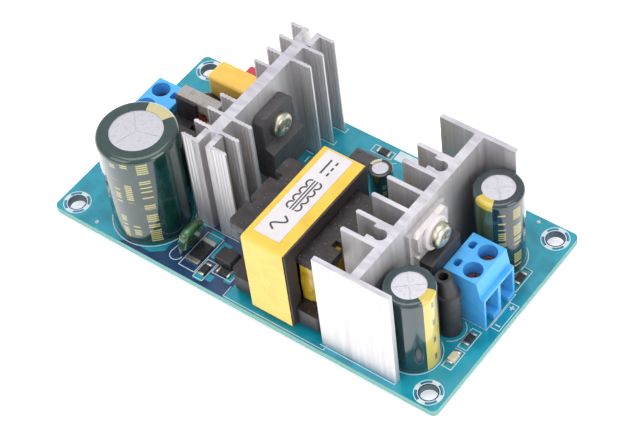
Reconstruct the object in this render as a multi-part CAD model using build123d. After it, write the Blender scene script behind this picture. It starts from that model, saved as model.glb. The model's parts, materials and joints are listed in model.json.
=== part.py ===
from build123d import *
import os
from math import cos, radians, sin

# Open-frame power supply module: a mains-to-24 V switching supply on one circuit board.
# Millimetres. The origin is the centre of the four mounting holes on the underside of the
# board, +X runs from the mains terminal to the output terminal, +Z is up.

# Circuit board and its mounting holes
board_length = 96.3
board_width = 51.3
board_thickness = 1.6
board_corner_radius = 1.2
hole_spacing_x = 89.0
hole_spacing_y = 44.7
mounting_hole_diameter = 3.6
top = board_thickness

# Leads and their solder joints
lead_tail = 1.8
lead_hole_gap = 0.15
solder_height = 1.1
solder_spread = 0.55

# Heatsinks
heatsink_height = 26.1
fin_thickness = 1.0
ridge_pitch = 0.8
ridge_depth = 0.2
primary_web_x = -15.0
primary_web_thickness = 2.6
primary_centre_y = 6.05
primary_fin_pitch = 4.12
primary_half_width = 17.95
primary_input_fin_tip = -20.2
primary_output_fin_tip = -9.0
primary_slot_width = 1.75
primary_slot_depth = 3.0
primary_arm_thickness = 1.3
primary_fork_offset = 0.25
secondary_web_x = 29.9
secondary_web_thickness = 2.0
secondary_plate_thickness = 1.15
secondary_plate_back_x = 20.6
secondary_plate_front_x = 38.2
secondary_front_y = -24.0
secondary_back_y = 19.45
secondary_fin_tip = 20.8
secondary_fin_pitch = 5.03
secondary_fin_count = 6
secondary_first_fin_y = -14.75
screw_channel_lip = 0.9
screw_channel_radius = 1.35
heatsink_pin_diameter = 1.2
heatsink_pin_height = 6.0

# Screws that hold the two power devices, M3 pan head
screw_diameter = 3.0
screw_head_diameter = 5.3
screw_head_height = 1.8
screw_recess_length = 2.4
screw_recess_width = 0.5
screw_recess_depth = 0.8
screw_hole_gap = 0.2
screw_reach = 1.6

# Switching transistor: fully moulded package, its thin upper part under the screw
transistor_width = 10.0
transistor_height = 16.5
transistor_upper_height = 7.6
transistor_upper_thickness = 2.7
transistor_lower_thickness = 4.7
transistor_y = 6.3
transistor_top = 21.5
transistor_hole_below_top = 4.1
leg_pitch = 2.54
leg_width = 0.8
leg_shoulder_width = 1.3
leg_thickness = 0.5

# Output rectifier: metal tab with a moulded body in front, on an insulating pad
rectifier_y = -2.6
rectifier_width = 10.0
rectifier_tab_top = 23.5
rectifier_tab_thickness = 1.3
rectifier_tab_height = 15.4
rectifier_body_top = 16.8
rectifier_body_height = 9.2
rectifier_body_thickness = 4.15
rectifier_hole_below_top = 2.9
pad_thickness = 0.9
pad_margin = 0.9
bush_flange_diameter = 7.3
bush_flange_thickness = 1.05

# Transformer: two E-shaped ferrite halves on a vertical bobbin
transformer_x = 8.9
transformer_y = -11.0
core_width = 26.8
core_depth = 10.6
core_half_height = 10.65
core_back_thickness = 3.4
core_outer_leg = 3.2
core_centre_leg = 7.2
core_bottom = 1.35
bobbin_half_length = 11.6
bobbin_flange_width = 19.8
bobbin_flange_thickness = 1.8
bobbin_rail_thickness = 4.3
bobbin_rail_half_width = 12.2
bobbin_rail_corner = 1.5
bobbin_wall = 0.9
bobbin_gap = 0.15
winding_half_length = 10.2
winding_half_width = 9.4
tape_width = 9.9
tape_thickness = 0.25
label_width = 6.1
label_length = 24.0
label_thickness = 0.12
transformer_pin = 0.7
transformer_pin_pitch = 5.0
transformer_pin_count = 5

# Notches of the bobbin's flanges: which side, y, depth and width
flange_notches = [(1, -3.2, 2.5, 1.7), (1, 4.2, 1.4, 1.1), (-1, 4.5, 2.0, 1.7), (-1, -3.0, 1.4, 1.2)]

# Electrolytic capacitors: x, y, outer radius and height of each
sleeve_wall = 0.2
sleeve_window = 0.655
can_shoulder = 1.0
score_width = 0.25
score_depth = 0.15
bulk_capacitor = (-28.65, -15.95, 8.45, 25.6)
bulk_score_lines = 3
bulk_score_turn = 14.0
bulk_lead_pitch = 7.5
bulk_lead_diameter = 0.8
front_capacitor = (36.8, -15.8, 5.2, 20.8)
back_capacitor = (37.7, 12.95, 5.1, 21.0)
output_score_lines = 4
output_score_turn = 40.0
output_lead_pitch = 5.0
output_lead_diameter = 0.6
control_capacitor = (9.8, 11.7, 2.6, 11.0)
control_lead_pitch = 2.0
control_lead_diameter = 0.5
along_x = 0.0
along_y = 90.0

# Screw terminals
terminal_ways = 2
terminal_pitch = 5.08
terminal_end_wall = 0.55
terminal_partition = 0.88
terminal_depth = 9.25
terminal_height = 13.1
terminal_flat_depth = 7.6
terminal_ledge_depth = 8.4
terminal_ledge_height = 9.0
terminal_y = 1.05
output_terminal_back_x = 36.05
input_terminal_back_x = -35.4
screw_well_depth_from_back = 5.13
screw_well_diameter = 4.0
test_hole_depth_from_back = 1.68
test_hole_diameter = 1.9
test_hole_length = 7.0
chamber_floor = 1.3
chamber_roof = 8.2
chamber_back = 2.6
shoulder_thickness = 0.5
clamp_screw_head_diameter = 3.7
clamp_screw_head_height = 1.1
clamp_screw_diameter = 2.5
clamp_width = 3.6
clamp_depth = 3.9
clamp_wall = 0.5
clamp_floor_thickness = 0.6
clamp_roof_thickness = 1.0
clamp_inner_height = 3.1
clamp_rest_gap = 0.3
clamp_screw_tip_gap = 0.3
running_gap = 0.1
contact_bar_height = 4.2
contact_bar_thickness = 0.8
contact_bar_width = 2.0
terminal_pin = 1.0

# Boxed and dipped parts
safety_capacitor_size = (13.0, 5.6, 11.6)
safety_capacitor_centre = (-29.6, 15.75)
fuse_size = (8.4, 4.0, 7.8)
fuse_centre = (-28.2, 21.0)
thermistor_diameter = 6.2
thermistor_thickness = 3.0
thermistor_centre = (-34.7, 11.2)
thermistor_lead_pitch = 4.4
bridge_size = (14.4, 3.7, 12.0)
bridge_centre = (-27.95, -4.4)
bridge_top = 14.5
film_capacitor_size = (2.3, 6.6, 6.5)
film_capacitor_centre = (-16.3, -18.6)
film_capacitor_lean = 16.0
film_lead_offset = 0.9
film_lead_pitch = 5.6
film_lead_top = 2.4
film_lead_diameter = 0.6
optocoupler_size = (7.0, 4.6, 3.3)
optocoupler_corner = 0.9
optocoupler_centre = (1.75, 17.1)
output_choke_centre = (39.4, -7.45)
output_choke_radius = 2.45
output_choke_height = 11.6
output_choke_neck_radius = 1.65
output_choke_neck_top = 15.6
output_choke_bore_radius = 1.0
output_choke_lean = 0.9
output_choke_lead_pitch = 2.5
shrink_wall = 0.35

# Line filter choke
filter_core_x = -34.35
filter_core_y = 1.85
filter_core_length = 10.2
filter_core_depth = 3.05
filter_core_top = 17.0
filter_core_height = 13.6
filter_core_bar = 2.7
filter_coil_wall = 1.9
filter_left_coil_top = 11.0
filter_cheek_length = 5.5
filter_cheek_thickness = 0.5
filter_cheek_drop = 0.3

# Ways to place a cylinder: standing on its base, or hanging from its upper end
on_base = (Align.CENTER, Align.CENTER, Align.MIN)
below = (Align.CENTER, Align.CENTER, Align.MAX)

lead_spots = []


def block(x0, x1, y0, y1, z0, z1):
    box = Box(x1 - x0, y1 - y0, z1 - z0)
    return Pos((x0 + x1) / 2, (y0 + y1) / 2, (z0 + z1) / 2) * box


def post(x, y, z0, z1, radius):
    return Pos(x, y, (z0 + z1) / 2) * Cylinder(radius, z1 - z0)


def round_lead(x, y, upper, diameter):
    lead_spots.append((x, y, diameter, diameter, True))
    return post(x, y, -lead_tail, upper, diameter / 2)


def flat_lead(x, y, upper, width_x, width_y):
    lead_spots.append((x, y, width_x, width_y, False))
    return block(x - width_x / 2, x + width_x / 2, y - width_y / 2, y + width_y / 2, -lead_tail, upper)


def outline(points):
    return make_face(Polyline(*points, close=True))


def save(name, shape):
    export_step(shape, f"parts/{name}.step")


# Heatsinks

def ridged_fin(root_x, tip_x, y):
    # A fin along X whose outer part carries fine lengthwise ridges on both faces
    way = 1 if tip_x > root_x else -1
    half = fin_thickness / 2
    count = int(abs(tip_x - root_x) * 0.75 / ridge_pitch)
    side = [(root_x, half)]
    for step in range(count, 0, -1):
        x = tip_x - way * (0.25 + step * ridge_pitch)
        side.append((x, half - ridge_depth))
        side.append((x + way * ridge_pitch / 2, half))
    side.append((tip_x - way * 0.25, half - ridge_depth))
    side.append((tip_x, half * 0.45))
    points = [(x, y + h) for x, h in side] + [(x, y - h) for x, h in reversed(side)]
    return outline(points)


def primary_fork_x():
    return primary_web_x + primary_fork_offset


def primary_heatsink():
    web_half = primary_half_width - primary_slot_depth
    half_web = primary_web_thickness / 2
    input_face = primary_web_x - half_web
    output_face = primary_web_x + half_web
    profile = Pos(primary_web_x, primary_centre_y) * Rectangle(primary_web_thickness, 2 * web_half)
    arm_span = primary_slot_width + 2 * primary_arm_thickness
    for way in (-1, 1):
        # The forked end of the web leaves an open channel for the fixing pin
        middle_y = primary_centre_y + way * (primary_half_width - primary_slot_depth / 2)
        fork = Pos(primary_fork_x(), middle_y) * Rectangle(arm_span, primary_slot_depth + fin_thickness)
        profile += fork
    for step in range(4):
        offset = primary_half_width - step * primary_fin_pitch
        for way in (-1, 1):
            profile += ridged_fin(input_face + 0.3, primary_input_fin_tip, primary_centre_y + way * offset)
            if step < 3:
                fin = ridged_fin(output_face - 0.3, primary_output_fin_tip, primary_centre_y + way * offset)
                profile += fin
    for way in (-1, 1):
        slot_y = primary_centre_y + way * (primary_half_width + fin_thickness / 2 - primary_slot_depth / 2)
        profile -= Pos(primary_fork_x(), slot_y) * Rectangle(primary_slot_width, primary_slot_depth)
        round_y = primary_centre_y + way * (primary_half_width + fin_thickness / 2 - primary_slot_depth)
        profile -= Pos(primary_fork_x(), round_y) * Circle(primary_slot_width / 2)
    body = Pos(0, 0, top) * extrude(profile, heatsink_height)
    hole_z = top + transistor_screw_height()
    hole = Pos(primary_web_x, transistor_y, hole_z) * Rot(0, 90, 0) * Cylinder(screw_diameter / 2, 6)
    return body - hole


def primary_pin_places():
    reach = primary_half_width + fin_thickness / 2 - primary_slot_depth
    return [(primary_fork_x(), primary_centre_y - reach), (primary_fork_x(), primary_centre_y + reach)]


def secondary_fin_ys():
    return [secondary_first_fin_y + step * secondary_fin_pitch for step in range(secondary_fin_count)]


def screw_channel_ys():
    fins = secondary_fin_ys()
    return [(fins[0] + fins[1]) / 2, (fins[-2] + fins[-1]) / 2]


def secondary_heatsink():
    web_back = secondary_web_x - secondary_web_thickness / 2
    web_front = secondary_web_x + secondary_web_thickness / 2
    length = secondary_back_y - secondary_front_y
    middle = (secondary_back_y + secondary_front_y) / 2
    profile = Pos(secondary_web_x, middle) * Rectangle(secondary_web_thickness, length)
    plate_length = secondary_plate_front_x - secondary_plate_back_x
    plate_middle = (secondary_plate_front_x + secondary_plate_back_x) / 2
    for edge, way in ((secondary_front_y, 1), (secondary_back_y, -1)):
        plate_y = edge + way * secondary_plate_thickness / 2
        profile += Pos(plate_middle, plate_y) * Rectangle(plate_length, secondary_plate_thickness)
    for y in secondary_fin_ys():
        half = fin_thickness / 2
        tip = secondary_fin_tip
        profile += outline([(web_back + 0.3, y - half), (web_back + 0.3, y + half), (tip + 0.25, y + half),
                            (tip, y + half * 0.4), (tip, y - half * 0.4), (tip + 0.25, y - half)])
    slot = secondary_fin_pitch - fin_thickness - 2 * screw_channel_lip
    for y in screw_channel_ys():
        # Two lips and a round floor form a channel that a self-tapping screw or a pin can use
        lip_x = web_back - 3.1
        filling = Rectangle(web_back - lip_x, secondary_fin_pitch - fin_thickness)
        profile += Pos((lip_x + web_back) / 2, y) * filling
        round_x = web_back - screw_channel_radius + 0.5
        profile -= Pos((lip_x + round_x) / 2, y) * Rectangle(round_x - lip_x, slot)
        profile -= Pos(round_x, y) * Circle(screw_channel_radius)
    body = Pos(0, 0, top) * extrude(profile, heatsink_height)
    hole_z = top + rectifier_tab_top - rectifier_hole_below_top
    hole = Pos(secondary_web_x, rectifier_y, hole_z) * Rot(0, 90, 0) * Cylinder(screw_diameter / 2, 6)
    return body - hole


def secondary_pin_places():
    web_back = secondary_web_x - secondary_web_thickness / 2
    round_x = web_back - screw_channel_radius + 0.5
    return [(round_x, y) for y in screw_channel_ys()]


def heatsink_pins():
    pins = []
    for places, radius in ((primary_pin_places(), primary_slot_width / 2),
                           (secondary_pin_places(), screw_channel_radius)):
        # Each pin is pressed into its channel and drops to a thinner tail at the board
        for x, y in places:
            tail = round_lead(x, y, top, heatsink_pin_diameter)
            pins.append(tail + post(x, y, top, top + heatsink_pin_height, radius))
    return Compound(children=pins)


# Power devices and what holds them

def transistor_screw_height():
    return transistor_top - transistor_hole_below_top


def pan_head_screw(seat_x, y, z, back_x):
    # Head on the +X side, shank towards -X, crossed recess in the domed head
    head = Cylinder(screw_head_diameter / 2, screw_head_height, align=on_base)
    head = fillet(head.faces().sort_by(Axis.Z)[-1].edges(), screw_head_height * 0.55)
    depth = 2 * screw_recess_depth
    recess = Box(screw_recess_length, screw_recess_width, depth) + Box(screw_recess_width, screw_recess_length, depth)
    recess = Pos(0, 0, screw_head_height) * Rot(0, 0, 25) * recess
    shank = Cylinder(screw_diameter / 2, seat_x - back_x, align=below)
    return Pos(seat_x, y, z) * Rot(0, 90, 0) * (head - recess + shank)


def heatsink_screws():
    transistor_seat = primary_web_x + primary_web_thickness / 2 + transistor_upper_thickness
    primary_back = primary_web_x - primary_web_thickness / 2 - screw_reach
    rectifier_seat = rectifier_tab_front() + bush_flange_thickness
    secondary_back = secondary_web_x - secondary_web_thickness / 2 - screw_reach
    rectifier_z = top + rectifier_tab_top - rectifier_hole_below_top
    return Compound(children=[
        pan_head_screw(transistor_seat, transistor_y, top + transistor_screw_height(), primary_back),
        pan_head_screw(rectifier_seat, rectifier_y, rectifier_z, secondary_back),
    ])


def switching_transistor():
    back = primary_web_x + primary_web_thickness / 2
    step_z = transistor_top - transistor_upper_height
    low_z = transistor_top - transistor_height
    front = back + transistor_lower_thickness
    thin = back + transistor_upper_thickness
    side = outline([(back, low_z + 0.6), (back + 1.2, low_z), (front - 0.4, low_z),
                    (front, low_z + 0.5), (front, step_z - 0.9), (thin, step_z + 0.2),
                    (thin, transistor_top), (back, transistor_top)])
    body = extrude(Plane.XZ * side, transistor_width / 2, both=True)
    body = Pos(0, transistor_y, top) * body
    upright = body.edges().filter_by(Axis.X).sort_by(Axis.Z)[-2:]
    body = chamfer(upright, 1.1)
    hole_z = top + transistor_screw_height()
    hole = Pos(thin, transistor_y, hole_z) * Rot(0, 90, 0)
    return body - hole * Cylinder(screw_diameter / 2 + screw_hole_gap, 8)


def leg_shoulder(x, y, upper, length):
    # The wider part of a leg, next to the package
    half = leg_shoulder_width / 2
    return block(x - leg_thickness / 2, x + leg_thickness / 2, y - half, y + half, upper - length, upper)


def transistor_legs():
    back = primary_web_x + primary_web_thickness / 2
    x = back + transistor_upper_thickness
    low_z = top + transistor_top - transistor_height
    legs = []
    for step in (-1, 0, 1):
        y = transistor_y + step * leg_pitch
        leg = flat_lead(x, y, low_z, leg_thickness, leg_width)
        legs.append(leg + leg_shoulder(x, y, low_z, 1.6))
    return Compound(children=legs)


def rectifier_tab_back():
    return secondary_web_x + secondary_web_thickness / 2 + pad_thickness


def rectifier_tab_front():
    return rectifier_tab_back() + rectifier_tab_thickness


def rectifier_hole_z():
    return top + rectifier_tab_top - rectifier_hole_below_top


def rectifier_tab():
    half = rectifier_width / 2
    upper = top + rectifier_tab_top
    lower = upper - rectifier_tab_height
    plate = block(rectifier_tab_back(), rectifier_tab_front(),
                  rectifier_y - half, rectifier_y + half, lower, upper)
    for way in (-1, 1):
        # The waist notches of the tab, just above the moulded body
        notch_y = rectifier_y + way * (half + 0.35)
        notch_z = top + rectifier_body_top + 1.5
        plate -= Pos(rectifier_tab_back(), notch_y, notch_z) * Rot(0, 90, 0) * Cylinder(1.0, 6)
    corners = plate.edges().filter_by(Axis.X).sort_by(Axis.Z)[-2:]
    plate = chamfer(corners, 0.6)
    hole = Pos(rectifier_tab_front(), rectifier_y, rectifier_hole_z()) * Rot(0, 90, 0)
    plate -= hole * Cylinder(screw_diameter / 2 + 0.5, 6)
    return plate


def rectifier_body():
    half = rectifier_width / 2
    upper = top + rectifier_body_top
    front = rectifier_tab_back() + rectifier_body_thickness
    shell = block(rectifier_tab_back() + 0.25, front, rectifier_y - half, rectifier_y + half,
                  upper - rectifier_body_height, upper)
    shell = chamfer(shell.faces().sort_by(Axis.X)[-1].edges(), 0.35)
    return shell - rectifier_tab()


def rectifier_legs():
    x = rectifier_tab_back() + 2.65
    low_z = top + rectifier_body_top - rectifier_body_height
    legs = []
    for step in (-1, 0, 1):
        y = rectifier_y + step * leg_pitch
        leg = flat_lead(x, y, low_z, leg_thickness, leg_width)
        legs.append(leg + leg_shoulder(x, y, low_z, 3.2))
    return Compound(children=legs)


def rectifier_pad():
    half = rectifier_width / 2 + pad_margin
    face = secondary_web_x + secondary_web_thickness / 2
    lower = top + rectifier_tab_top - rectifier_tab_height - pad_margin
    sheet = block(face, face + pad_thickness, rectifier_y - half, rectifier_y + half,
                  lower, top + rectifier_tab_top + 0.1)
    hole = Pos(face, rectifier_y, rectifier_hole_z()) * Rot(0, 90, 0)
    return sheet - hole * Cylinder(screw_diameter / 2 + screw_hole_gap, 6)


def rectifier_bush():
    seat = rectifier_tab_front()
    flange = Cylinder(bush_flange_diameter / 2, bush_flange_thickness, align=on_base)
    flange = fillet(flange.faces().sort_by(Axis.Z)[-1].edges(), 0.3)
    neck = Cylinder(screw_diameter / 2 + 0.45, rectifier_tab_thickness - 0.1, align=below)
    bore = Cylinder(screw_diameter / 2, 6)
    return Pos(seat, rectifier_y, rectifier_hole_z()) * Rot(0, 90, 0) * (flange + neck - bore)


# Transformer

def core_half(upper):
    half = core_width / 2
    inner = half - core_outer_leg
    centre = core_centre_leg / 2
    joint = core_half_height
    window = core_back_thickness
    shape = [(-half, 0), (half, 0), (half, joint), (inner, joint), (inner, window),
             (centre, window), (centre, joint), (-centre, joint), (-centre, window),
             (-inner, window), (-inner, joint), (-half, joint)]
    if upper:
        shape = [(y, 2 * core_half_height - z) for y, z in shape]
    body = extrude(Plane.YZ * outline(shape), core_depth / 2, both=True)
    return Pos(transformer_x, transformer_y, top + core_bottom) * body


def window_floor():
    return top + core_bottom + core_back_thickness


def window_roof():
    return top + core_bottom + 2 * core_half_height - core_back_thickness


def transformer_bobbin():
    low = window_floor() + running_gap
    high = window_roof() - running_gap
    opening_x = core_depth / 2 + bobbin_gap
    opening_y = core_centre_leg / 2 + bobbin_gap
    tube = Box(2 * (opening_x + bobbin_wall), 2 * (opening_y + bobbin_wall), high - low)
    body = Pos(0, 0, (low + high) / 2) * tube
    flange = extrude(bobbin_flange_outline(), bobbin_flange_thickness)
    body += Pos(0, 0, high - bobbin_flange_thickness) * flange
    body += Pos(0, 0, low) * extrude(bobbin_flange_outline(), bobbin_flange_thickness * 0.6)
    rail_inner = core_depth / 2 + bobbin_gap
    for way in (-1, 1):
        # Pin rails stand outside the core, with feet that reach the board
        rail = extrude(bobbin_rail_outline(), bobbin_rail_thickness)
        width = bobbin_half_length - rail_inner
        keep = Pos(way * (rail_inner + width / 2), 0, 0) * Box(width, core_width, 2 * core_width)
        body += Pos(0, 0, low - bobbin_rail_thickness + bobbin_flange_thickness * 0.6) * rail & keep
        foot_x = way * (bobbin_half_length - 2.2)
        for side in (-1, 1):
            foot = block(foot_x - 1.2, foot_x + 1.2, side * 7.6 - 1.3, side * 7.6 + 1.3,
                         top, low - bobbin_rail_thickness + 1.2)
            body += foot
    body -= Pos(0, 0, (low + high) / 2) * Box(2 * opening_x, 2 * opening_y, 2 * high)
    half = transformer_pin / 2
    for x, y in transformer_pin_places():
        body -= block(x - half, x + half, y - half, y + half, top - 1, transformer_pin_top())
    return Pos(transformer_x, transformer_y, 0) * body


def transformer_pin_places():
    # Pin centres measured from the transformer's own centre
    half_row = (transformer_pin_count - 1) / 2
    row_x = bobbin_half_length - 1.0
    return [(way * row_x, (step - half_row) * transformer_pin_pitch)
            for way in (-1, 1) for step in range(transformer_pin_count)]


def transformer_pin_top():
    return window_floor() + running_gap - 1.6


def bobbin_flange_outline():
    half_x = bobbin_half_length
    half_y = bobbin_flange_width / 2
    plate = Rectangle(2 * half_x, 2 * half_y)
    plate = fillet(plate.vertices(), 1.3)
    # Notches that the wires leave through
    for way, y, depth, width in flange_notches:
        plate -= Pos(way * half_x, y) * Rectangle(2 * depth, width)
    return plate


def bobbin_rail_outline():
    # Wider than the flange, with a small notch between each pin and the next
    plate = Rectangle(2 * bobbin_half_length, 2 * bobbin_rail_half_width)
    plate = chamfer(plate.vertices(), bobbin_rail_corner)
    for way in (-1, 1):
        for step in range(transformer_pin_count - 1):
            y = (step - (transformer_pin_count - 2) / 2) * transformer_pin_pitch
            plate -= Pos(way * bobbin_half_length, y) * Rectangle(1.6, 1.2)
    return plate


def transformer_winding():
    low = window_floor() + running_gap + bobbin_flange_thickness * 0.6
    high = window_roof() - running_gap - bobbin_flange_thickness
    roll = Rectangle(2 * winding_half_length, 2 * winding_half_width)
    roll = fillet(roll.vertices(), 4.0)
    opening_x = core_depth / 2 + bobbin_gap + bobbin_wall
    opening_y = core_centre_leg / 2 + bobbin_gap + bobbin_wall
    roll -= Rectangle(2 * opening_x, 2 * opening_y)
    return Pos(transformer_x, transformer_y, low) * extrude(roll, high - low)


def transformer_pins():
    return Compound(children=[
        flat_lead(transformer_x + x, transformer_y + y, transformer_pin_top(),
                  transformer_pin, transformer_pin)
        for x, y in transformer_pin_places()
    ])


def transformer_tape():
    inner = Rectangle(core_width, 2 * core_half_height)
    outer = Rectangle(core_width + 2 * tape_thickness, 2 * core_half_height + 2 * tape_thickness)
    outer = fillet(outer.vertices(), 0.6)
    band = extrude(Plane.YZ * (outer - inner), tape_width / 2, both=True)
    return Pos(transformer_x, transformer_y, top + core_bottom + core_half_height) * band


def transformer_label():
    low = top + core_bottom + 2 * core_half_height + tape_thickness
    x0 = transformer_x - label_width / 2 - 0.6
    y0 = transformer_y - label_length / 2 + 0.9
    return block(x0, x0 + label_width, y0, y0 + label_length, low, low + label_thickness)


# Electrolytic capacitors

def capacitor_can(x, y, radius, height, score_lines, score_turn):
    can = plain_can(radius, height)
    length = radius * sleeve_window * 0.92
    for turn in range(score_lines):
        # The score lines that let the can open under pressure
        score = Pos(length / 2, 0, height - sleeve_wall) * Box(length, score_width, 2 * score_depth)
        can -= Rot(0, 0, turn * 360 / score_lines + score_turn) * score
    return Pos(x, y, top) * can


def capacitor_sleeve(x, y, radius, height):
    shell = Pos(0, 0, height / 2) * Cylinder(radius, height)
    shell = fillet(shell.faces().sort_by(Axis.Z)[-1].edges(), can_shoulder * radius / 8 + sleeve_wall * 0.9)
    shell -= Pos(0, 0, height) * Cylinder(radius * sleeve_window, 2 * sleeve_wall)
    shell = Pos(x, y, top) * shell
    smooth = Pos(x, y, top) * plain_can(radius, height)
    return shell - smooth


def plain_can(radius, height):
    can_radius = radius - sleeve_wall
    can_height = height - sleeve_wall
    can = Pos(0, 0, can_height / 2) * Cylinder(can_radius, can_height)
    return fillet(can.faces().sort_by(Axis.Z)[-1].edges(), can_shoulder * radius / 8)


def lead_pair(x, y, pitch, angle, upper, diameter):
    dx = pitch / 2 * cos(radians(angle))
    dy = pitch / 2 * sin(radians(angle))
    return [round_lead(x - dx, y - dy, upper, diameter), round_lead(x + dx, y + dy, upper, diameter)]


# Screw terminals, drawn with the back at x = 0 and the wire entries towards +X

def terminal_width():
    inner = terminal_ways * (terminal_pitch - terminal_partition) + (terminal_ways - 1) * terminal_partition
    return inner + 2 * terminal_end_wall


def way_ys():
    half = (terminal_ways - 1) / 2
    return [(step - half) * terminal_pitch for step in range(terminal_ways)]


def terminal_housing():
    half = terminal_width() / 2
    side = outline([(0, 0), (terminal_depth, 0), (terminal_depth, terminal_ledge_height),
                    (terminal_ledge_depth, terminal_ledge_height), (terminal_flat_depth, terminal_height),
                    (0, terminal_height)])
    body = extrude(Plane.XZ * side, half, both=True)
    chamber_half = (terminal_pitch - terminal_partition) / 2
    shoulder_top = chamber_roof + shoulder_thickness
    for y in way_ys():
        body -= block(chamber_back, terminal_depth + 1, y - chamber_half, y + chamber_half,
                      chamber_floor, chamber_roof)
        # The space under the wire sill is open to the front
        body -= block(terminal_depth - 2.4, terminal_depth + 1, y - chamber_half, y + chamber_half * 0.15,
                      -1, chamber_floor + 1)
        body -= block(chamber_back - 1.3, terminal_depth - 2.8, y - chamber_half, y + chamber_half,
                      -1, chamber_floor - 0.8)
        body -= post(screw_well_depth_from_back, y, shoulder_top, terminal_height + 1,
                     screw_well_diameter / 2)
        body -= post(screw_well_depth_from_back, y, chamber_roof - 1, shoulder_top + 1,
                     clamp_screw_diameter / 2 + running_gap)
        test = post(test_hole_depth_from_back, y, terminal_height - test_hole_length,
                    terminal_height + 1, test_hole_diameter / 2)
        flat = block(test_hole_depth_from_back + test_hole_diameter * 0.32, terminal_depth,
                     y - test_hole_diameter, y + test_hole_diameter, 0, terminal_height + 1)
        body -= test - flat
        # Slots for the contact bar and its pin
        body -= contact_slot(y)
    return body


def contact_slot(y):
    bar_half = contact_bar_width / 2
    back = test_hole_depth_from_back - contact_bar_thickness / 2
    upper = contact_bar_height + contact_bar_thickness
    slot = block(back, chamber_back + 0.1, y - bar_half, y + bar_half, contact_bar_height, upper)
    return slot + block(back, back + contact_bar_thickness, y - bar_half, y + bar_half, -1, upper)


def contact_piece(y):
    # A bent strip: the bar that the wire is pressed against, and the shank down to its pin
    bar_half = contact_bar_width / 2
    back = test_hole_depth_from_back - contact_bar_thickness / 2
    bar_end = screw_well_depth_from_back + clamp_depth / 2 - 0.3
    bar = block(back, bar_end, y - bar_half, y + bar_half, contact_bar_height,
                contact_bar_height + contact_bar_thickness)
    shank = block(back, back + contact_bar_thickness, y - bar_half, y + bar_half, 0.0,
                  contact_bar_height + contact_bar_thickness)
    return bar + shank


def clamp_cage(y):
    # The cage that rises when its screw is turned and lifts the wire against the bar
    low = chamber_floor + clamp_rest_gap
    height = clamp_floor_thickness + clamp_inner_height + clamp_roof_thickness
    x0 = screw_well_depth_from_back - clamp_depth / 2
    x1 = screw_well_depth_from_back + clamp_depth / 2
    cage = block(x0, x1, y - clamp_width / 2, y + clamp_width / 2, low, low + height)
    inner_half = clamp_width / 2 - clamp_wall
    cage -= block(x0 - 1, x1 + 1, y - inner_half, y + inner_half, low + clamp_floor_thickness,
                  low + clamp_floor_thickness + clamp_inner_height)
    cage -= post(screw_well_depth_from_back, y, low + 2, low + height + 1, clamp_screw_diameter / 2 + 0.05)
    return cage


def clamp_screw(y):
    seat = chamber_roof + shoulder_thickness + running_gap
    x = screw_well_depth_from_back
    end = contact_bar_height + contact_bar_thickness + clamp_screw_tip_gap
    head = post(x, y, seat, seat + clamp_screw_head_height, clamp_screw_head_diameter / 2)
    shank = post(x, y, end, seat, clamp_screw_diameter / 2)
    driver = Box(clamp_screw_head_diameter + 1, 0.7, 1.2) + Box(0.7, 2.6, 1.2)
    driver = Pos(x, y, seat + clamp_screw_head_height) * Rot(0, 0, 30) * driver
    return head + shank - driver


def terminal_site(name):
    if name == "output":
        return Pos(output_terminal_back_x, terminal_y, top)
    return Pos(input_terminal_back_x, terminal_y, top) * Rot(0, 0, 180)


def terminal_contacts(name):
    site = terminal_site(name)
    way = 1 if name == "output" else -1
    back_x = output_terminal_back_x if name == "output" else input_terminal_back_x
    pieces = []
    for y in way_ys():
        strip = site * contact_piece(y)
        pin = flat_lead(back_x + way * test_hole_depth_from_back, terminal_y + way * y, top + 0.2,
                        contact_bar_thickness, terminal_pin)
        pieces.append(strip + pin)
    return Compound(children=pieces)


# Boxed, dipped and surface-mounted parts

def boxed(size, centre, edge):
    length, width, height = size
    x, y = centre
    body = block(x - length / 2, x + length / 2, y - width / 2, y + width / 2, top, top + height)
    upper = body.edges().group_by(Axis.Z)[-1] + body.edges().filter_by(Axis.Z)
    return fillet(upper, edge)


def lead_block(centre, pitch, diameter, upper):
    # The two wires that run up into a dipped or moulded body
    x, y = centre
    first = post(x - pitch / 2, y, top, top + upper, diameter / 2)
    return first + post(x + pitch / 2, y, top, top + upper, diameter / 2)


def inrush_thermistor():
    x, y = thermistor_centre
    z = top + thermistor_diameter / 2 + 1.4
    disc = Cylinder(thermistor_diameter / 2, thermistor_thickness)
    disc = fillet(disc.edges().filter_by(GeomType.CIRCLE), thermistor_thickness * 0.4)
    return Pos(x, y, z) * Rot(90, 0, 0) * disc - lead_block(thermistor_centre, thermistor_lead_pitch, 0.7, 3.2)


def bridge_rectifier():
    length, width, height = bridge_size
    x, y = bridge_centre
    body = block(x - length / 2, x + length / 2, y - width / 2, y + width / 2,
                 top + bridge_top - height, top + bridge_top)
    corner = body.edges().filter_by(Axis.Y).group_by(Axis.Z)[-1].sort_by(Axis.X)[0]
    body = chamfer(corner, 2.4)
    return chamfer(body.edges().filter_by(Axis.X), 0.35)


def film_capacitor():
    thickness, length, height = film_capacitor_size
    x, y = film_capacitor_centre
    body = Box(thickness, length, height)
    body = fillet(body.edges().filter_by(Axis.X), 1.9)
    body = fillet(body.edges().group_by(Axis.X)[-1] + body.edges().group_by(Axis.X)[0], thickness * 0.4)
    body = Pos(x, y, top + height / 2 + 0.7) * Rot(0, film_capacitor_lean, 0) * body
    half_pitch = film_lead_pitch / 2
    for lead_y in (y - half_pitch, y + half_pitch):
        body -= post(x - film_lead_offset, lead_y, top, top + film_lead_top, film_lead_diameter / 2)
    return body


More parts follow.
